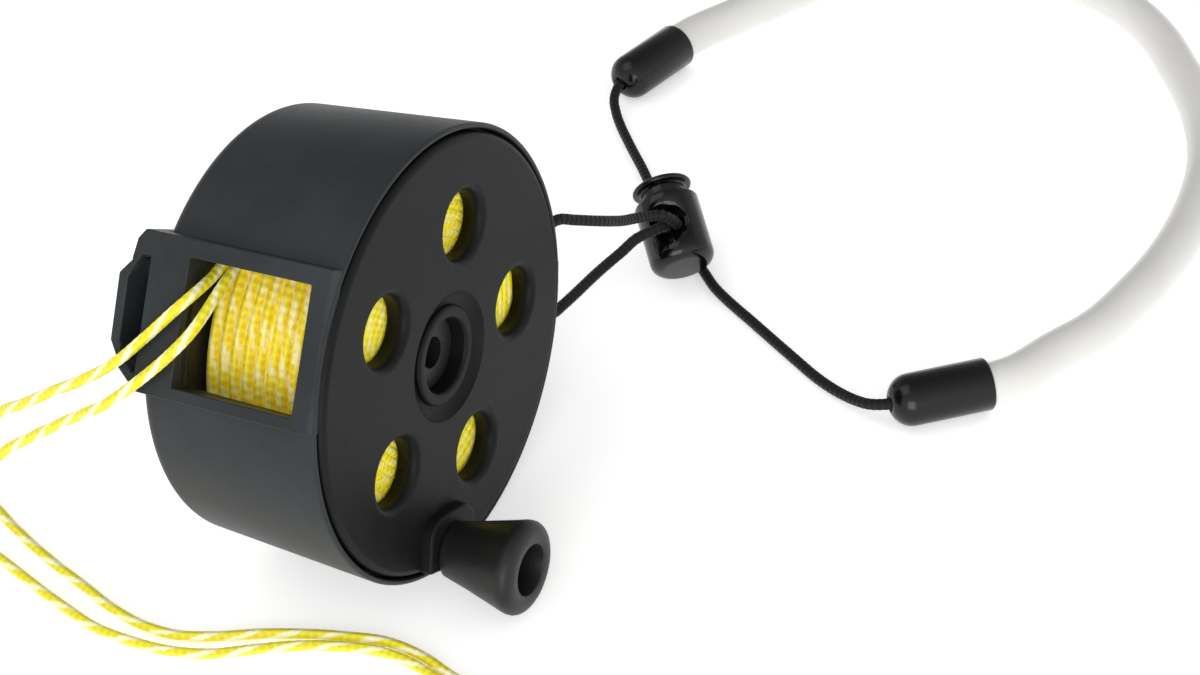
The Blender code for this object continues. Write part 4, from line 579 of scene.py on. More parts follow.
fillet = LOCK_BOTTOM_FILLET
body_profile = [(0, 0)] + quarter((LOCK_RADIUS - fillet, fillet), fillet, -90, 0, 8)
body_profile += quarter((LOCK_RADIUS - LOCK_TOP_ROUND, LOCK_BODY_LENGTH - LOCK_TOP_ROUND),
                        LOCK_TOP_ROUND, 0, 90)
body_profile += [(LOCK_BORE_RADIUS, LOCK_BODY_LENGTH), (LOCK_BORE_RADIUS, LOCK_FLOOR), (0, LOCK_FLOOR)]
lock_body = lathe('lock_barrel', body_profile, SMALL_ROUND_STEPS, lock_place, gloss)
tools = [slot_tool('lock_hole_tool', -LOCK_HOLE_HALF_HEIGHT, LOCK_HOLE_HALF_HEIGHT)]
for side in (1, -1):
    dish = bmesh.new()
    bmesh.ops.create_uvsphere(dish, u_segments=40, v_segments=24, radius=1)
    dish_place = lock_place @ Matrix.Translation((0, side * LOCK_RADIUS, LOCK_HOLE_HEIGHT))
    bmesh.ops.transform(dish, matrix=dish_place @ Matrix.Diagonal((*LOCK_DISH, 1)), verts=dish.verts)
    tools.append(finish_mesh('lock_dish_tool', dish, gloss))
cut(lock_body, tools)
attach(lock_body, 'housing_and_lanyard')
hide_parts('lock_body')

flange = LOCK_BODY_LENGTH + PLUNGER_STANDOFF
top = flange + PLUNGER_FLANGE_THICKNESS
rim = PLUNGER_FLANGE_THICKNESS / 2
plunger_profile = [(0, PLUNGER_BOTTOM), (PLUNGER_RADIUS, PLUNGER_BOTTOM),
                   (PLUNGER_RADIUS, flange - PLUNGER_FILLET), (PLUNGER_RADIUS + PLUNGER_FILLET, flange)]
plunger_profile += quarter((PLUNGER_FLANGE_RADIUS - rim, flange + rim), rim, -90, 90, 8) + [(0, top)]
plunger = lathe('lock_button', plunger_profile, SMALL_ROUND_STEPS, lock_place, gloss)
cut(plunger, [slot_tool('plunger_slot_tool', -LANYARD_DIAMETER / 2 - GAP,
                        PLUNGER_TRAVEL + LANYARD_DIAMETER / 2 + GAP)])
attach(plunger, 'plunger')
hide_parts('lock_plunger')

# The free line: the doubled end of the yellow braided line, out of the window and down to the
# floor. It runs to the left, comes round behind the reel in a loop and ends in a loose bight.
LINE_DIAMETER = 0.0020
LINE_SPACING = 0.0080
WINDING_RADIUS = 0.0340
STRAND_ONE_DEPTH = 0.02665
STRAND_TWO_DEPTH = 0.02430
STRAND_START_CLOCKS = (-130, -125, -120, -115, -110)
LINE_REST_HEIGHT = 0.00105
STRAND_ONE_OUT = ((-0.0262, 0.0097, 0.0722), (-0.0305, 0.0096, 0.0721), (-0.0327, 0.0112, 0.0708),
                  (-0.0344, 0.0141, 0.0681), (-0.0366, 0.0173, 0.0648), (-0.0391, 0.0210, 0.0615),
                  (-0.0411, 0.0259, 0.0580), (-0.0426, 0.0329, 0.0540), (-0.0437, 0.0427, 0.0475),
                  (-0.0431, 0.0491, 0.0430), (-0.0443, 0.0570, 0.0355), (-0.0462, 0.0650, 0.0255),
                  (-0.0485, 0.0725, 0.0145), (-0.0503, 0.0790, 0.0055), (-0.0510, 0.0850, 0.0013))
STRAND_ONE_BACK = ((-0.0490, 0.0897), (-0.0450, 0.0912), (-0.0412, 0.0887), (-0.0402, 0.0835),
                   (-0.0412, 0.0765), (-0.0427, 0.0690), (-0.0446, 0.0614), (-0.0474, 0.0520),
                   (-0.0498, 0.0432), (-0.0522, 0.0322), (-0.0521, 0.0231), (-0.0512, 0.0159),
                   (-0.0491, 0.0095), (-0.0464, 0.0048), (-0.0428, -0.0015), (-0.0404, -0.0063),
                   (-0.0383, -0.0121), (-0.0367, -0.0184), (-0.0363, -0.0246), (-0.0375, -0.0293),
                   (-0.0390, -0.0345))
BIGHT = ((-0.0415, -0.0415), (-0.0448, -0.0485), (-0.0476, -0.0555), (-0.0478, -0.0625),
         (-0.0425, -0.0672), (-0.0368, -0.0640), (-0.0356, -0.0570), (-0.0368, -0.0490),
         (-0.0376, -0.0410))
STRAND_TWO_BACK = ((-0.0365, -0.0340), (-0.0351, -0.0290), (-0.0339, -0.0243), (-0.0343, -0.0181),
                   (-0.0361, -0.0110), (-0.0382, -0.0045), (-0.0404, 0.0015), (-0.0434, 0.0070),
                   (-0.0463, 0.0139), (-0.0483, 0.0213), (-0.0466, 0.0341), (-0.0439, 0.0428),
                   (-0.0409, 0.0531), (-0.0347, 0.0690), (-0.0318, 0.0750), (-0.0302, 0.0820),
                   (-0.0315, 0.0898), (-0.0365, 0.0960), (-0.0440, 0.0985), (-0.0520, 0.0970),
                   (-0.0578, 0.0918))
STRAND_TWO_OUT = ((-0.0600, 0.0845, 0.0013), (-0.0592, 0.0770, 0.0045), (-0.0572, 0.0700, 0.0115),
                  (-0.0542, 0.0625, 0.0205), (-0.0506, 0.0550, 0.0290), (-0.0468, 0.0490, 0.0355),
                  (-0.0448, 0.0389, 0.0430), (-0.0442, 0.0285, 0.0505), (-0.0437, 0.0208, 0.0560),
                  (-0.0412, 0.0165, 0.0595), (-0.0397, 0.0140, 0.0613), (-0.0374, 0.0106, 0.0648),
                  (-0.0338, 0.0075, 0.0683), (-0.0276, 0.0071, 0.0705))
LINE_STITCH = 0.0016
TRACER_STEP = 0.0080
TRACER_YARNS = 2.0
# The first colour is painted shade for the dips between the yarns
FREE_BRAID = {'dip_shade': '#dccb20', 'yarn_colour': '#e6dc26', 'fleck_colour': '#f3f1d6',
              'fleck_share': 0.85, 'unevenness': 0.6}


def yellow_braid(name, length, dip_shade, yarn_colour, fleck_colour, fleck_share, unevenness):
    """Yellow polypropylene braid: lemon yarns with a faint painted glow and painted shade in the dips between
    them, a pale tracer yarn in long flecks.
    """
    # Painted glow: the yarns give off a little light of their own colour, which lightens them where they lie
    # in shade
    made, tree, shader = start_material(name, yarn_colour, 0.42, {
        'Sheen Weight': 0.1, 'Specular IOR Level': 0.4, 'Emission Color': linear(yarn_colour),
        'Emission Strength': 0.10})
    height = braid_height(tree, length / (2 * LINE_STITCH), YARNS_AROUND)
    yarn = add_node(tree, 'ShaderNodeValToRGB', links={'Fac': height.outputs[0]})
    # Painted shade: the dips between the yarns take the darker first colour
    set_ramp(yarn, (0.02, linear(dip_shade)), (0.60, linear(yarn_colour)))
    place = add_node(tree, 'ShaderNodeUVMap')
    stretch = add_node(tree, 'ShaderNodeMapping', values={'Scale': (length / TRACER_STEP, TRACER_YARNS, 1.0)},
                       links={'Vector': place.outputs['UV']})
    axes = add_node(tree, 'ShaderNodeSeparateXYZ', links={'Vector': stretch.outputs['Vector']})
    uneven = add_node(tree, 'ShaderNodeTexNoise', values={'Scale': 1.4, 'Detail': 2.0, 'Roughness': 0.7},
                      links={'Vector': stretch.outputs['Vector']})
    wound = add_node(tree, 'ShaderNodeMath', {'operation': 'ADD'},
                     links={0: axes.outputs['X'], 1: axes.outputs['Y']})
    shifted = add_node(tree, 'ShaderNodeMath', {'operation': 'MULTIPLY_ADD'}, {1: unevenness},
                       {0: uneven.outputs['Fac'], 2: wound.outputs[0]})
    swing = add_node(tree, 'ShaderNodeMath', {'operation': 'MULTIPLY'}, {1: math.tau},
                     {0: shifted.outputs[0]})
    wave = add_node(tree, 'ShaderNodeMath', {'operation': 'SINE'}, links={0: swing.outputs[0]})
    fleck = add_node(tree, 'ShaderNodeMapRange', {'interpolation_type': 'SMOOTHSTEP'},
                     {'From Min': 0.0, 'From Max': 0.9, 'To Max': fleck_share}, {'Value': wave.outputs[0]})
    tone = add_node(tree, 'ShaderNodeMix', {'data_type': 'RGBA'}, links={'Factor': fleck.outputs['Result']})
    tree.links.new(yarn.outputs['Color'], tone.inputs[6])
    tone.inputs[7].default_value = linear(fleck_colour)
    tree.links.new(tone.outputs[2], shader.inputs['Base Color'])
    bump = add_node(tree, 'ShaderNodeBump', values={'Strength': 0.7, 'Distance': 0.00015},
                    links={'Height': height.outputs[0]})
    tree.links.new(bump.outputs['Normal'], shader.inputs['Normal'])
    return made


strand_radius = WINDING_RADIUS + GAP + LINE_DIAMETER / 2
starts = []
for strand_depth in (STRAND_ONE_DEPTH, STRAND_TWO_DEPTH):
    back = Vector((0, depth(strand_depth), 0))
    starts.append([reel_place @ (outward(math.radians(clock)) * strand_radius + back)
                   for clock in STRAND_START_CLOCKS])
route = starts[0] + list(STRAND_ONE_OUT)
route += [(*point, LINE_REST_HEIGHT) for point in STRAND_ONE_BACK + BIGHT + STRAND_TWO_BACK]
route += list(STRAND_TWO_OUT) + list(reversed(starts[1]))
first, last = len(starts[0]), len(route) - len(starts[1]) - 1
coarse = smooth_route(route, LINE_SPACING, (first + 1, first + 2, last - 2, last - 1))
points = smooth_route(coarse, LINE_STITCH / 2)
free_look = yellow_braid('yellow polypropylene braid, free', length_of(points), **FREE_BRAID)
free_line = round_cord('free_line_braid', points, LINE_DIAMETER, free_look, ripple=STITCH_RIPPLE)
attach(free_line, 'housing_and_lanyard')
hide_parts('free_line')

# The winding: many layers of the same line. Its outer turns show in the window, the edges of
# its layers show through the finger holes, and a plain core fills what nobody sees.
WHEEL_THICKNESS = 0.0034
WINDING_PITCH = 0.00245
WINDING_TURNS = 9
WINDING_START = 0.0059
TURN_STEPS = 120
END_STEPS = 20
LAYER_SINK = 0.0011
LAYER_SHIFT = 0.0002
LAYER_WANDER = 0.00065
LAYER_WANDER_RATE = 1.3
LAYER_SWELL = 0.00014
LAYER_SWELL_RATE = 1.7
LAYER_TUCK = 0.0001
EDGE_STARTS = ((0.0157, 0.00478), (0.0167, 0.00600))
EDGE_TURNS = 9
EDGE_PITCH = 0.00176
EDGE_WANDER = 0.0003
EDGE_WANDER_RATE = 1.1
EDGE_WAVER = 0.00010
PRESSED_FLAT = 0.00006
BARREL_RADIUS = 0.0140
CORE_RADIUS = 0.0308
CORE_FRONT = 0.0068
CORE_REAR = 0.0282
LARGE_ROUND_STEPS = 96
HOLLOW_SHADE_SIZE = 0.0025
# In the winding the first colour, painted shade for the dips between the yarns, is a more orange yellow
LAYER_BRAID = {'dip_shade': '#e6c426', 'yarn_colour': '#f0dc2a', 'fleck_colour': '#f7eebc',
               'fleck_share': 0.70, 'unevenness': 1.5}
# The layer edges seen through the finger holes are painted brighter, to make up for the wheel's shade, and
# have fewer flecks
EDGE_BRAID_PAINTED_LIGHTER = {'dip_shade': '#ecd21e', 'yarn_colour': '#f8ec28', 'fleck_colour': '#f9f3b8',
              'fleck_share': 0.45, 'unevenness': 1.5}

# Each layer and edge wanders in its own way, from its own place in the noise
layers = []
outer_radius = WINDING_RADIUS - LINE_DIAMETER / 2
for number, (radius, start_depth) in enumerate((
        (outer_radius, WINDING_START),
        (outer_radius - LAYER_SINK, WINDING_START - WINDING_PITCH / 2 + LAYER_SHIFT))):
    points = []
    for step in range(TURN_STEPS * WINDING_TURNS + 1):
        clock = math.tau * step / TURN_STEPS
        wander = noise.noise(Vector((clock * LAYER_WANDER_RATE, number * 7.0, 0.0)))
        swell = noise.noise(Vector((clock * LAYER_SWELL_RATE, 3.0, number * 5.0)))
        ends = min(1.0, step / END_STEPS, (TURN_STEPS * WINDING_TURNS - step) / END_STEPS)
        out = radius + (LAYER_SWELL * swell - LAYER_TUCK) * ends
        back = start_depth + WINDING_PITCH * step / TURN_STEPS + LAYER_WANDER * wander * ends
        points.append(reel_place @ (outward(clock) * out + Vector((0, depth(back), 0))))
    layers.append(('wound_layer_%d' % number, points))
for number, (start_radius, start_depth) in enumerate(EDGE_STARTS):
    points = []
    for step in range(TURN_STEPS * (EDGE_TURNS - number) + 1):
        clock = math.tau * step / TURN_STEPS
        wander = noise.noise(Vector((clock * EDGE_WANDER_RATE, 20.0 + number * 9.0, 0.0)))
        out = start_radius + EDGE_PITCH * step / TURN_STEPS + EDGE_WANDER * wander
        back = start_depth + EDGE_WAVER * wander
        points.append(reel_place @ (outward(clock) * out + Vector((0, depth(back), 0))))
    layers.append(('wound_edge_%d' % number, points))
for name, points in layers:
    look = yellow_braid('yellow polypropylene braid, ' + name, length_of(points),
                        **(LAYER_BRAID if 'layer' in name else EDGE_BRAID_PAINTED_LIGHTER))
    turn = round_cord(name, points, LINE_DIAMETER + PRESSED_FLAT, look, resolution=2)
    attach(turn, 'spool_and_wheel')
    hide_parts('wound_line' if 'layer' in name else 'wound_line_core')

# The same line deep in the winding, painted darker as shade: dull, and darker still in random patches of
# painted shade that stand for the hollows between its turns
core_look, tree, shader = start_material('shaded yellow line', '#b8981a', 0.8)
place = add_node(tree, 'ShaderNodeTexCoord')
hollow_shade_patches = add_node(tree, 'ShaderNodeTexNoise', values={'Scale': 1 / HOLLOW_SHADE_SIZE, 'Detail': 2.0},
                   links={'Vector': place.outputs['Object']})
tone = add_node(tree, 'ShaderNodeValToRGB', links={'Fac': hollow_shade_patches.outputs['Fac']})
set_ramp(tone, (0.0, linear('#8a6a08')), (1.0, linear('#cdb016')))
tree.links.new(tone.outputs['Color'], shader.inputs['Base Color'])
core_profile = [(BARREL_RADIUS + GAP, depth(CORE_FRONT)), (CORE_RADIUS, depth(CORE_FRONT)),
                (CORE_RADIUS, depth(CORE_REAR)), (BARREL_RADIUS + GAP, depth(CORE_REAR))]
core = lathe('winding_core', core_profile, LARGE_ROUND_STEPS, reel_place, core_look, axis='Y')
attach(core, 'spool_and_wheel')
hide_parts('wound_line_core')

# The housing: one moulding of black glass-filled nylon, a tapered cup with a flat window frame,
# a slotted lug and the lanyard eye. The mould left it satin, with small rounds on its edges.
SHELL_STEPS = 192
SHELL_WALL = 0.0018
RIM_WALL = 0.0010
RIM_ROUND = 0.0006
RIM_CHAMFER = 0.0002
CUP_ROUND = 0.0002
BACK_WALL = 0.0022
BACK_ROUND = 0.0030
CAVITY_FRONT = 0.0038
BOSS_RADIUS = 0.0080
BOSS_FRONT = 0.03245
AXLE_SEAT_RADIUS = 0.0048
AXLE_SEAT_FLOOR = 0.03435
SCREW_HOLE_RADIUS = 0.0023
SCREW_POCKET_RADIUS = 0.0048
SCREW_POCKET_FLOOR = 0.0352
FLAT_SHARE = math.cos(math.pi / HOUSING_SIDES)
PLATE_TOP = 0.0158
PLATE_BOTTOM = 0.0120
PLATE_THICKNESS = 0.0035
PLATE_FRONT = 0.0002
PLATE_REAR = 0.0354
WINDOW_TOP = 0.0126
WINDOW_BOTTOM = 0.0098
WINDOW_FRONT = 0.00385
WINDOW_REAR = 0.02825
LUG_LENGTH = 0.0073
LUG_SETBACK = 0.0005
LUG_DEPTH = 0.0090
LUG_PLATE_SHARES = ((0.356, 1.0), (0.548, 0.935), (0.63, 0.81), (0.63, 0.13), (0.26, 0.05))
LUG_BAR_SHARES = ((0.40, 0.90), (0.63, 0.81), (1.0, 0.70), (0.973, 0.277), (0.726, 0.176), (0.40, 0.09))
LUG_SLOT_SHARES = ((0.11, 0.842), (0.35, 0.842), (0.712, 0.68), (0.712, 0.291), (0.514, 0.205),
                   (0.185, 0.108), (0.11, 0.108))
EYE_WIDTH = 0.0065
EYE_COVER = 0.0017
EYE_CHAMFER = 0.0018
EYE_CLEARANCE = 0.00035
MOULD_ROUND = 0.0004
TOOL_REACH = 0.002
TOOL_DEPTH = 0.014
MARK_SIZE = 0.0143
MARK_GAIN = 1.6
MARK_LIFT = 0.002
# The real grain is about a tenth of a millimetre; it is drawn coarser, so that it shows
GRAIN_SIZE = 0.0007


def satin_plastic(name, colour, roughness, specular):
    """Moulded nylon: satin black with a fine spark-eroded grain and faint handling marks."""
    made, tree, shader = start_material(name, colour, roughness, {'Specular IOR Level': specular})
    place = add_node(tree, 'ShaderNodeTexCoord')
    grains, marks = (
        add_node(tree, 'ShaderNodeTexNoise', values={'Scale': 1 / size, 'Detail': detail, 'Roughness': 0.65},
                 links={'Vector': place.outputs['Object']})
        for size, detail in ((GRAIN_SIZE, 3.0), (MARK_SIZE, 5.0)))
    matt = add_node(tree, 'ShaderNodeMapRange',
                    values={'To Min': roughness - 0.07, 'To Max': roughness + 0.09},
                    links={'Value': marks.outputs['Fac']})
    tree.links.new(matt.outputs['Result'], shader.inputs['Roughness'])
    tone = add_node(tree, 'ShaderNodeValToRGB', links={'Fac': marks.outputs['Fac']})
    rubbed = [min(1.0, part * MARK_GAIN + MARK_LIFT) for part in linear(colour)]
    set_ramp(tone, (0.30, linear(colour)), (0.75, rubbed))
    tree.links.new(tone.outputs['Color'], shader.inputs['Base Color'])
    bump = add_node(tree, 'ShaderNodeBump', values={'Strength': 0.22, 'Distance': 0.0002},
                    links={'Height': grains.outputs['Fac']})
    tree.links.new(bump.outputs['Normal'], shader.inputs['Normal'])
    return made


def even_normals(piece):
    """Let a piece's large faces set the direction of its shading."""
    step = piece.modifiers.new('even shading', 'WEIGHTED_NORMAL')
    step.keep_sharp = True


def prism(name, outline, thickness, place, look):
    """A flat outline extruded by a vector, in its place."""
    shape = bmesh.new()
    face = shape.faces.new([shape.verts.new(point) for point in outline])
    moved = bmesh.ops.extrude_face_region(shape, geom=[face])
    bmesh.ops.translate(shape, verts=[item for item in moved['geom'] if isinstance(item, bmesh.types.BMVert)],
                        vec=thickness)
    bmesh.ops.transform(shape, matrix=place, verts=shape.verts)
    return finish_mesh(name, shape, look)


def shell_radius(place):
    """The outer radius of the tapered housing at a depth, halfway into its flats."""
    return (HOUSING_FRONT_RADIUS - TAPER * place) * FLAT_SHARE


def on_plate(place, height, out=0.0):
    """A point on the window frame's outer face, from its depth, height and how far it is set back."""
    return Vector((out - HOUSING_FRONT_RADIUS, depth(place), height))


def on_lug(shares, out=0.0):
    """Points of the lug, from shares of its length and of the frame's height."""
    return [on_plate(PLATE_REAR + LUG_LENGTH * along, (PLATE_TOP + PLATE_BOTTOM) * up - PLATE_BOTTOM, out)
            for along, up in shares]


shell_look = satin_plastic('satin moulded nylon, shell', '#212426', roughness=0.44, specular=0.22)
back_start = HOUSING_DEPTH - BACK_ROUND
rim_bore = shell_radius(0) - RIM_WALL
profile = quarter((shell_radius(0) - RIM_ROUND, RIM_ROUND), RIM_ROUND, -90, 0)
profile += quarter((shell_radius(back_start) - BACK_ROUND, back_start), BACK_ROUND, 0, 90, 10)
profile += [(SCREW_POCKET_RADIUS, HOUSING_DEPTH), (SCREW_POCKET_RADIUS, SCREW_POCKET_FLOOR),
            (SCREW_HOLE_RADIUS, SCREW_POCKET_FLOOR), (SCREW_HOLE_RADIUS, AXLE_SEAT_FLOOR),
            (AXLE_SEAT_RADIUS, AXLE_SEAT_FLOOR), (AXLE_SEAT_RADIUS, BOSS_FRONT), (BOSS_RADIUS, BOSS_FRONT),
            (BOSS_RADIUS, HOUSING_DEPTH - BACK_WALL),
            (shell_radius(HOUSING_DEPTH) - SHELL_WALL, HOUSING_DEPTH - BACK_WALL),
            (shell_radius(CAVITY_FRONT) - SHELL_WALL, CAVITY_FRONT), (rim_bore, CAVITY_FRONT),
            (rim_bore, RIM_CHAMFER), (rim_bore + RIM_CHAMFER, 0)]
shell = lathe('housing_cup', [(radius, depth(place)) for radius, place in profile], SHELL_STEPS, reel_place,
              shell_look, axis='Y')
window = [on_plate(place, height, -TOOL_REACH) for place, height in (
    (WINDOW_FRONT, -WINDOW_BOTTOM), (WINDOW_FRONT, WINDOW_TOP), (WINDOW_REAR, WINDOW_TOP),
    (WINDOW_REAR, -WINDOW_BOTTOM))]
deep = Vector((TOOL_DEPTH, 0, 0))
cut(shell, [prism('window_tool', window, deep, reel_place, shell_look)])
outline = [on_plate(PLATE_FRONT, -PLATE_BOTTOM), on_plate(PLATE_FRONT, PLATE_TOP)]
outline += [on_plate(PLATE_REAR, PLATE_TOP)] + on_lug(LUG_PLATE_SHARES)
outline += [on_plate(PLATE_REAR, -PLATE_BOTTOM)]
plate = prism('window_frame', outline, Vector((PLATE_THICKNESS, 0, 0)), reel_place, shell_look)
# A tool is used up by its cut, so each of the lug's three pieces has its own
slot = [prism('slot_tool_%d' % number, on_lug(LUG_SLOT_SHARES, -TOOL_REACH), deep, reel_place, shell_look)
        for number in range(3)]
cut(plate, [prism('window_tool', window, deep, reel_place, shell_look), slot[0]])
lug = prism('lug_bar', on_lug(LUG_BAR_SHARES, LUG_SETBACK), Vector((LUG_DEPTH - LUG_SETBACK, 0, 0)),
            reel_place, shell_look)
cut(lug, [slot[1]])
root_out = PLATE_THICKNESS - MOULD_ROUND
root = prism('lug_root', on_lug(((0.0, 0.0), (0.0, 1.0)) + LUG_PLATE_SHARES, root_out),
             Vector((LUG_DEPTH - root_out, 0, 0)), reel_place, shell_look)
cut(root, [slot[2]])
tunnel_radius = LANYARD_DIAMETER / 2 + EYE_CLEARANCE
eye_top = HOUSING_FRONT_RADIUS + EYE_STANDOFF + tunnel_radius + EYE_COVER
eye_root = HOUSING_FRONT_RADIUS - SHELL_WALL
half = EYE_LENGTH / 2
eye_front = Vector((0, depth(EYE_DEPTH) - EYE_WIDTH / 2, 0))
outline = [eye_front + around(EYE_CLOCK) * along + outward(EYE_CLOCK) * out
           for along, out in ((-half, eye_root), (half, eye_root), (half, eye_top - EYE_CHAMFER),
                              (half - EYE_CHAMFER, eye_top), (EYE_CHAMFER - half, eye_top),
                              (-half, eye_top - EYE_CHAMFER))]
eye = prism('lanyard_eye', outline, Vector((0, EYE_WIDTH, 0)), reel_place, shell_look)
tunnel = bmesh.new()
bmesh.ops.create_cone(tunnel, cap_ends=True, segments=32, radius1=tunnel_radius, radius2=tunnel_radius,
                      depth=0.02, matrix=reel_place @ Matrix.Translation(eye_middle)
                      @ around(EYE_CLOCK).to_track_quat('Z', 'Y').to_matrix().to_4x4())
cut(eye, [finish_mesh('tunnel_tool', tunnel, shell_look)])
for piece in (shell, plate, lug, root, eye):
    round_edges(piece, CUP_ROUND if piece is shell else MOULD_ROUND)
    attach(piece, 'housing_and_lanyard')
    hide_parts('housing')

# The crank wheel: a moulded disc with a rounded edge, five dished finger holes, a hub ring that
# stands in a dish, and a raised pad for the knob. It closes the front of the housing, and its
# keys turn the spool behind it.
WHEEL_RADIUS = 0.0408
FACE_FRONT = -0.0007
EDGE_ROUND = 0.0014
HUB_RING_RADIUS = 0.0094
HUB_RING_ROUND = 0.0007
HUB_DISH_WIDTH = 0.0028
HUB_DISH_DEPTH = 0.0017
HUB_DISH_CURVE = 2.2
HUB_DISH_STEPS = 12
HUB_RECESS_RADIUS = 0.0070
HUB_SHOULDER_DEPTH = 0.0070
HUB_BACK = 0.0090
HUB_BORE_RADIUS = 0.0058
HUB_SLEEVE_RADIUS = 0.0090
SPIGOT_RADIUS = 0.0119
SPIGOT_BACK = 0.0064
SPIGOT_WALL = 0.0015
FINGER_HOLES = 5
HOLE_PITCH_RADIUS = 0.0240
HOLE_RADIUS = 0.0064
HOLE_ROUND = 0.0015
HOLE_FLARE = 0.0006
HOLE_FLARE_DEPTH = 0.0001
HOLE_TOOL_FRONT = -0.003
HOLE_TOOL_BACK = 0.006
HOLE_FIRST_CLOCK = math.radians(42.1)
KNOB_CLOCK = math.radians(13.8)
KNOB_PITCH_RADIUS = 0.0371
PAD_HALF_WIDTH = 0.0075
PAD_REACH = 0.0076
PAD_CORNER = 0.0040
PAD_CORNER_STEPS = 8
PAD_FRONT = -0.0030
PAD_ROUND = 0.0006
INSERT_HOLE_RADIUS = 0.0029
INSERT_HOLE_FLOOR = 0.0003
INSERT_TOOL_FRONT = -0.006
INSERT_STEPS = 48

wheel_look = satin_plastic('satin moulded nylon, wheel', '#0b0c0d', roughness=0.48, specular=0.15)
profile = quarter((HUB_RECESS_RADIUS + HUB_RING_ROUND, HUB_RING_ROUND), HUB_RING_ROUND, 180, 270)
profile += quarter((HUB_RING_RADIUS - HUB_RING_ROUND, HUB_RING_ROUND), HUB_RING_ROUND, -90, 0)
dish_shares = [step / HUB_DISH_STEPS for step in range(HUB_DISH_STEPS + 1)]
profile += [(HUB_RING_RADIUS + HUB_DISH_WIDTH * share,
             FACE_FRONT + HUB_DISH_DEPTH * (1 - share ** HUB_DISH_CURVE)) for share in dish_shares]
profile += quarter((WHEEL_RADIUS - EDGE_ROUND, FACE_FRONT + EDGE_ROUND), EDGE_ROUND, -90, 0, 8)
profile += [(WHEEL_RADIUS, WHEEL_THICKNESS), (SPIGOT_RADIUS, WHEEL_THICKNESS), (SPIGOT_RADIUS, SPIGOT_BACK),
            (SPIGOT_RADIUS - SPIGOT_WALL, SPIGOT_BACK), (SPIGOT_RADIUS - SPIGOT_WALL, WHEEL_THICKNESS),
            (HUB_SLEEVE_RADIUS, WHEEL_THICKNESS), (HUB_SLEEVE_RADIUS, HUB_BACK), (HUB_BORE_RADIUS, HUB_BACK),
            (HUB_BORE_RADIUS, HUB_SHOULDER_DEPTH), (HUB_RECESS_RADIUS, HUB_SHOULDER_DEPTH)]
wheel = lathe('crank_disc', [(radius, depth(place)) for radius, place in profile], SHELL_STEPS, reel_place,
              wheel_look, axis='Y')
flare = HOLE_RADIUS + HOLE_ROUND + HOLE_FLARE
funnel = [(0, HOLE_TOOL_FRONT), (flare, HOLE_TOOL_FRONT), (flare, FACE_FRONT - HOLE_FLARE_DEPTH)]
funnel += quarter((HOLE_RADIUS + HOLE_ROUND, FACE_FRONT + HOLE_ROUND), HOLE_ROUND, 270, 180, 8)
funnel += [(HOLE_RADIUS, HOLE_TOOL_BACK), (0, HOLE_TOOL_BACK)]
funnel = [(radius, depth(place)) for radius, place in funnel]
tools = []
for number in range(FINGER_HOLES):
    middle = outward(HOLE_FIRST_CLOCK + math.tau * number / FINGER_HOLES) * HOLE_PITCH_RADIUS
    tools.append(lathe('finger_hole_tool', funnel, SMALL_ROUND_STEPS,
                       reel_place @ Matrix.Translation(middle), wheel_look, axis='Y'))
pin_place = reel_place @ Matrix.Translation(outward(KNOB_CLOCK) * KNOB_PITCH_RADIUS)
insert_profile = [(0, depth(INSERT_TOOL_FRONT)), (INSERT_HOLE_RADIUS, depth(INSERT_TOOL_FRONT)),
                  (INSERT_HOLE_RADIUS, depth(INSERT_HOLE_FLOOR)), (0, depth(INSERT_HOLE_FLOOR))]
tools.append(lathe('insert_tool', insert_profile, INSERT_STEPS, pin_place, wheel_look, axis='Y'))
cut(wheel, tools)
even_normals(wheel)
knob_out, knob_side = outward(KNOB_CLOCK), around(KNOB_CLOCK)
pad_edge = WHEEL_RADIUS - GAP
spread = math.asin(PAD_HALF_WIDTH / pad_edge)
arch = [outward(KNOB_CLOCK + spread * share) * pad_edge for share in (-1.0, -0.5, 0.0, 0.5, 1.0)]
for side, first in ((1, 0), (-1, PAD_CORNER_STEPS)):
    for step in range(first, first + PAD_CORNER_STEPS + 1):
        turn = math.pi / 2 * step / PAD_CORNER_STEPS
        across = side * (PAD_HALF_WIDTH - PAD_CORNER) + PAD_CORNER * math.cos(turn)
        inward = PAD_REACH - PAD_CORNER + PAD_CORNER * math.sin(turn)
        arch.append(knob_out * (KNOB_PITCH_RADIUS - inward) + knob_side * across)
front = Vector((0, depth(PAD_FRONT), 0))
pad = prism('knob_pad', [point + front for point in arch], Vector((0, EDGE_ROUND - PAD_FRONT, 0)),
            reel_place, wheel_look)
cut(pad, [lathe('insert_tool', insert_profile, INSERT_STEPS, pin_place, wheel_look, axis='Y')])
round_edges(pad, PAD_ROUND)
for piece in (wheel, pad):
    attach(piece, 'spool_and_wheel')
    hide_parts('crank_wheel')

# The knob: a turned-looking moulded grip, flared toward its rounded end, with a deep bore that
# holds the head of the screw it spins on.
KNOB_BASE = -0.0033
KNOB_LENGTH = 0.0163
KNOB_NECK_RADIUS = 0.0054
KNOB_RADIUS = 0.0089
KNOB_BORE_RADIUS = 0.0048
KNOB_BORE_DEPTH = 0.0121
KNOB_SHAFT_HOLE = 0.0019
KNOB_FLARE_SHARES = ((0.0, 0.0), (0.14, 0.15), (0.28, 0.30), (0.43, 0.485), (0.58, 0.67), (0.72, 0.845),
                     (0.85, 1.0))
KNOB_CROWN_SHARES = ((0.91, 0.99), (0.955, 0.935), (0.985, 0.85), (1.0, 0.75))
KNOB_OUTLINE_STEP = 0.0006
KNOB_MOUTH = ((0.0005, 0.0), (0.00015, 0.00015), (0.0, 0.0005))

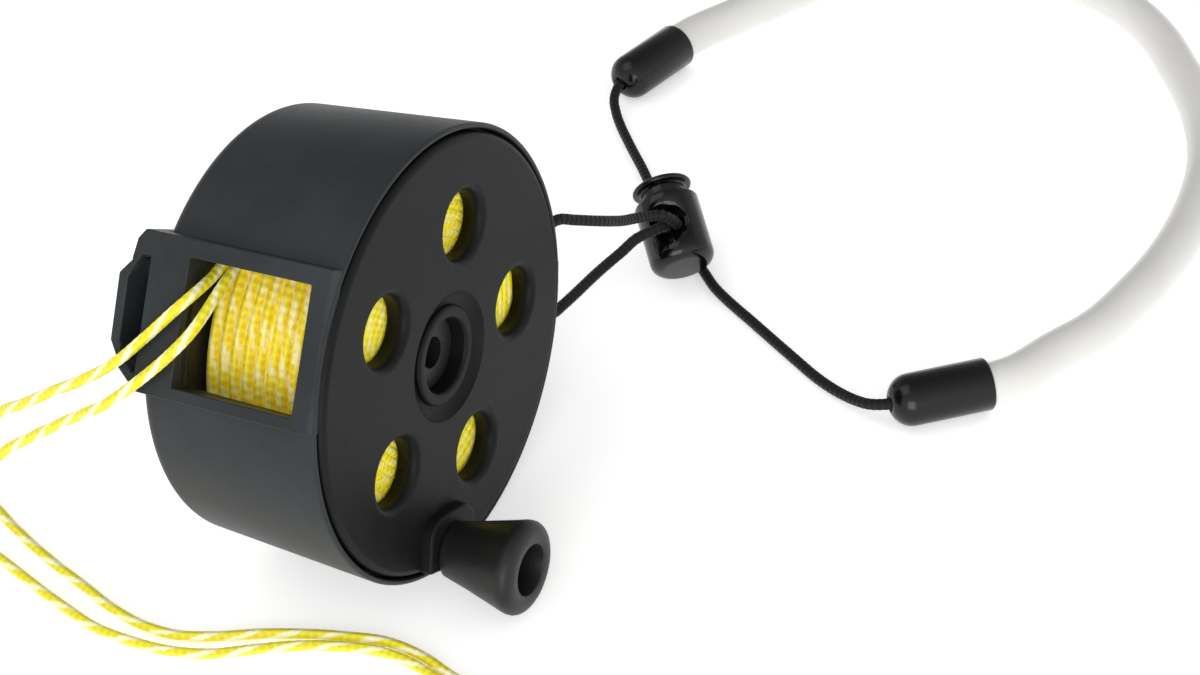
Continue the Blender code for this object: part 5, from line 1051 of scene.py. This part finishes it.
tip = KNOB_BASE - KNOB_LENGTH
side_profile = [Vector((KNOB_NECK_RADIUS + (KNOB_RADIUS - KNOB_NECK_RADIUS) * share,
                        KNOB_BASE - KNOB_LENGTH * along, 0)) for along, share in KNOB_FLARE_SHARES]
side_profile += [Vector((KNOB_RADIUS * share, KNOB_BASE - KNOB_LENGTH * along, 0))
                 for along, share in KNOB_CROWN_SHARES]
knob_profile = [(point.x, depth(point.y)) for point in smooth_route(side_profile, KNOB_OUTLINE_STEP)]
knob_profile += [(KNOB_BORE_RADIUS + wider, depth(tip + place)) for wider, place in KNOB_MOUTH]
knob_profile += [(KNOB_BORE_RADIUS, depth(tip + KNOB_BORE_DEPTH)),
                 (KNOB_SHAFT_HOLE, depth(tip + KNOB_BORE_DEPTH)), (KNOB_SHAFT_HOLE, depth(KNOB_BASE))]
knob_look = satin_plastic('satin moulded nylon, knob', '#111213', roughness=0.44, specular=0.35)
knob = lathe('knob_grip', knob_profile, LARGE_ROUND_STEPS, pin_place, knob_look, axis='Y', smooth_angle=40.0)
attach(knob, 'knob')
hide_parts('crank_knob')

# The hidden works: the spool and its flanged axle in the same nylon, white nylon bushes and a
# thrust washer that let it spin, and stainless steel screws and washers that hold it together.
# The lathe's marks on nylon and metal are finer in truth, and drawn at a size that shows.
TURNING_SIZE = 0.00111
METAL_GRAIN = 0.000833


def carry_over(names, look):
    """Give CAD nodes that stay as they are a finished material."""
    for name in names:
        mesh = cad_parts[name].data
        for slot in range(len(mesh.materials)):
            mesh.materials[slot] = look


carry_over(('spool', 'axle'),
           satin_plastic('satin moulded nylon, works', '#141516', roughness=0.45, specular=0.4))
# Waxy and slightly see-through, with the faint lines of the lathe
white_nylon = uneven_material('machined white nylon', '#e4e2d8', 0.42,
                              {'Subsurface Weight': 0.1, 'Subsurface Scale': 0.001}, TURNING_SIZE,
                              detail=2.0, strength=0.15, relief=0.0001)[0]
carry_over(('front_bush', 'rear_bush', 'thrust_washer'), white_nylon)


def turned_metal(name, colour, roughness):
    """Turned metal: bright, with a fine grain that blurs its highlights."""
    made, tree, shader = start_material(name, colour, roughness, {'Metallic': 1.0})
    place = add_node(tree, 'ShaderNodeTexCoord')
    grain = add_node(tree, 'ShaderNodeTexNoise', values={'Scale': 1 / METAL_GRAIN, 'Detail': 3.0},
                     links={'Vector': place.outputs['Object']})
    blur = add_node(tree, 'ShaderNodeMapRange',
                    values={'To Min': roughness - 0.08, 'To Max': roughness + 0.1},
                    links={'Value': grain.outputs['Fac']})
    tree.links.new(blur.outputs['Result'], shader.inputs['Roughness'])
    return made


carry_over(('axle_screw', 'axle_screw_washer', 'front_washer', 'knob_screw', 'knob_washer', 'lock_spring'),
           turned_metal('stainless steel', '#c3c5c7', 0.28))
carry_over(('knob_insert',), turned_metal('brass', '#d2a64a', 0.3))
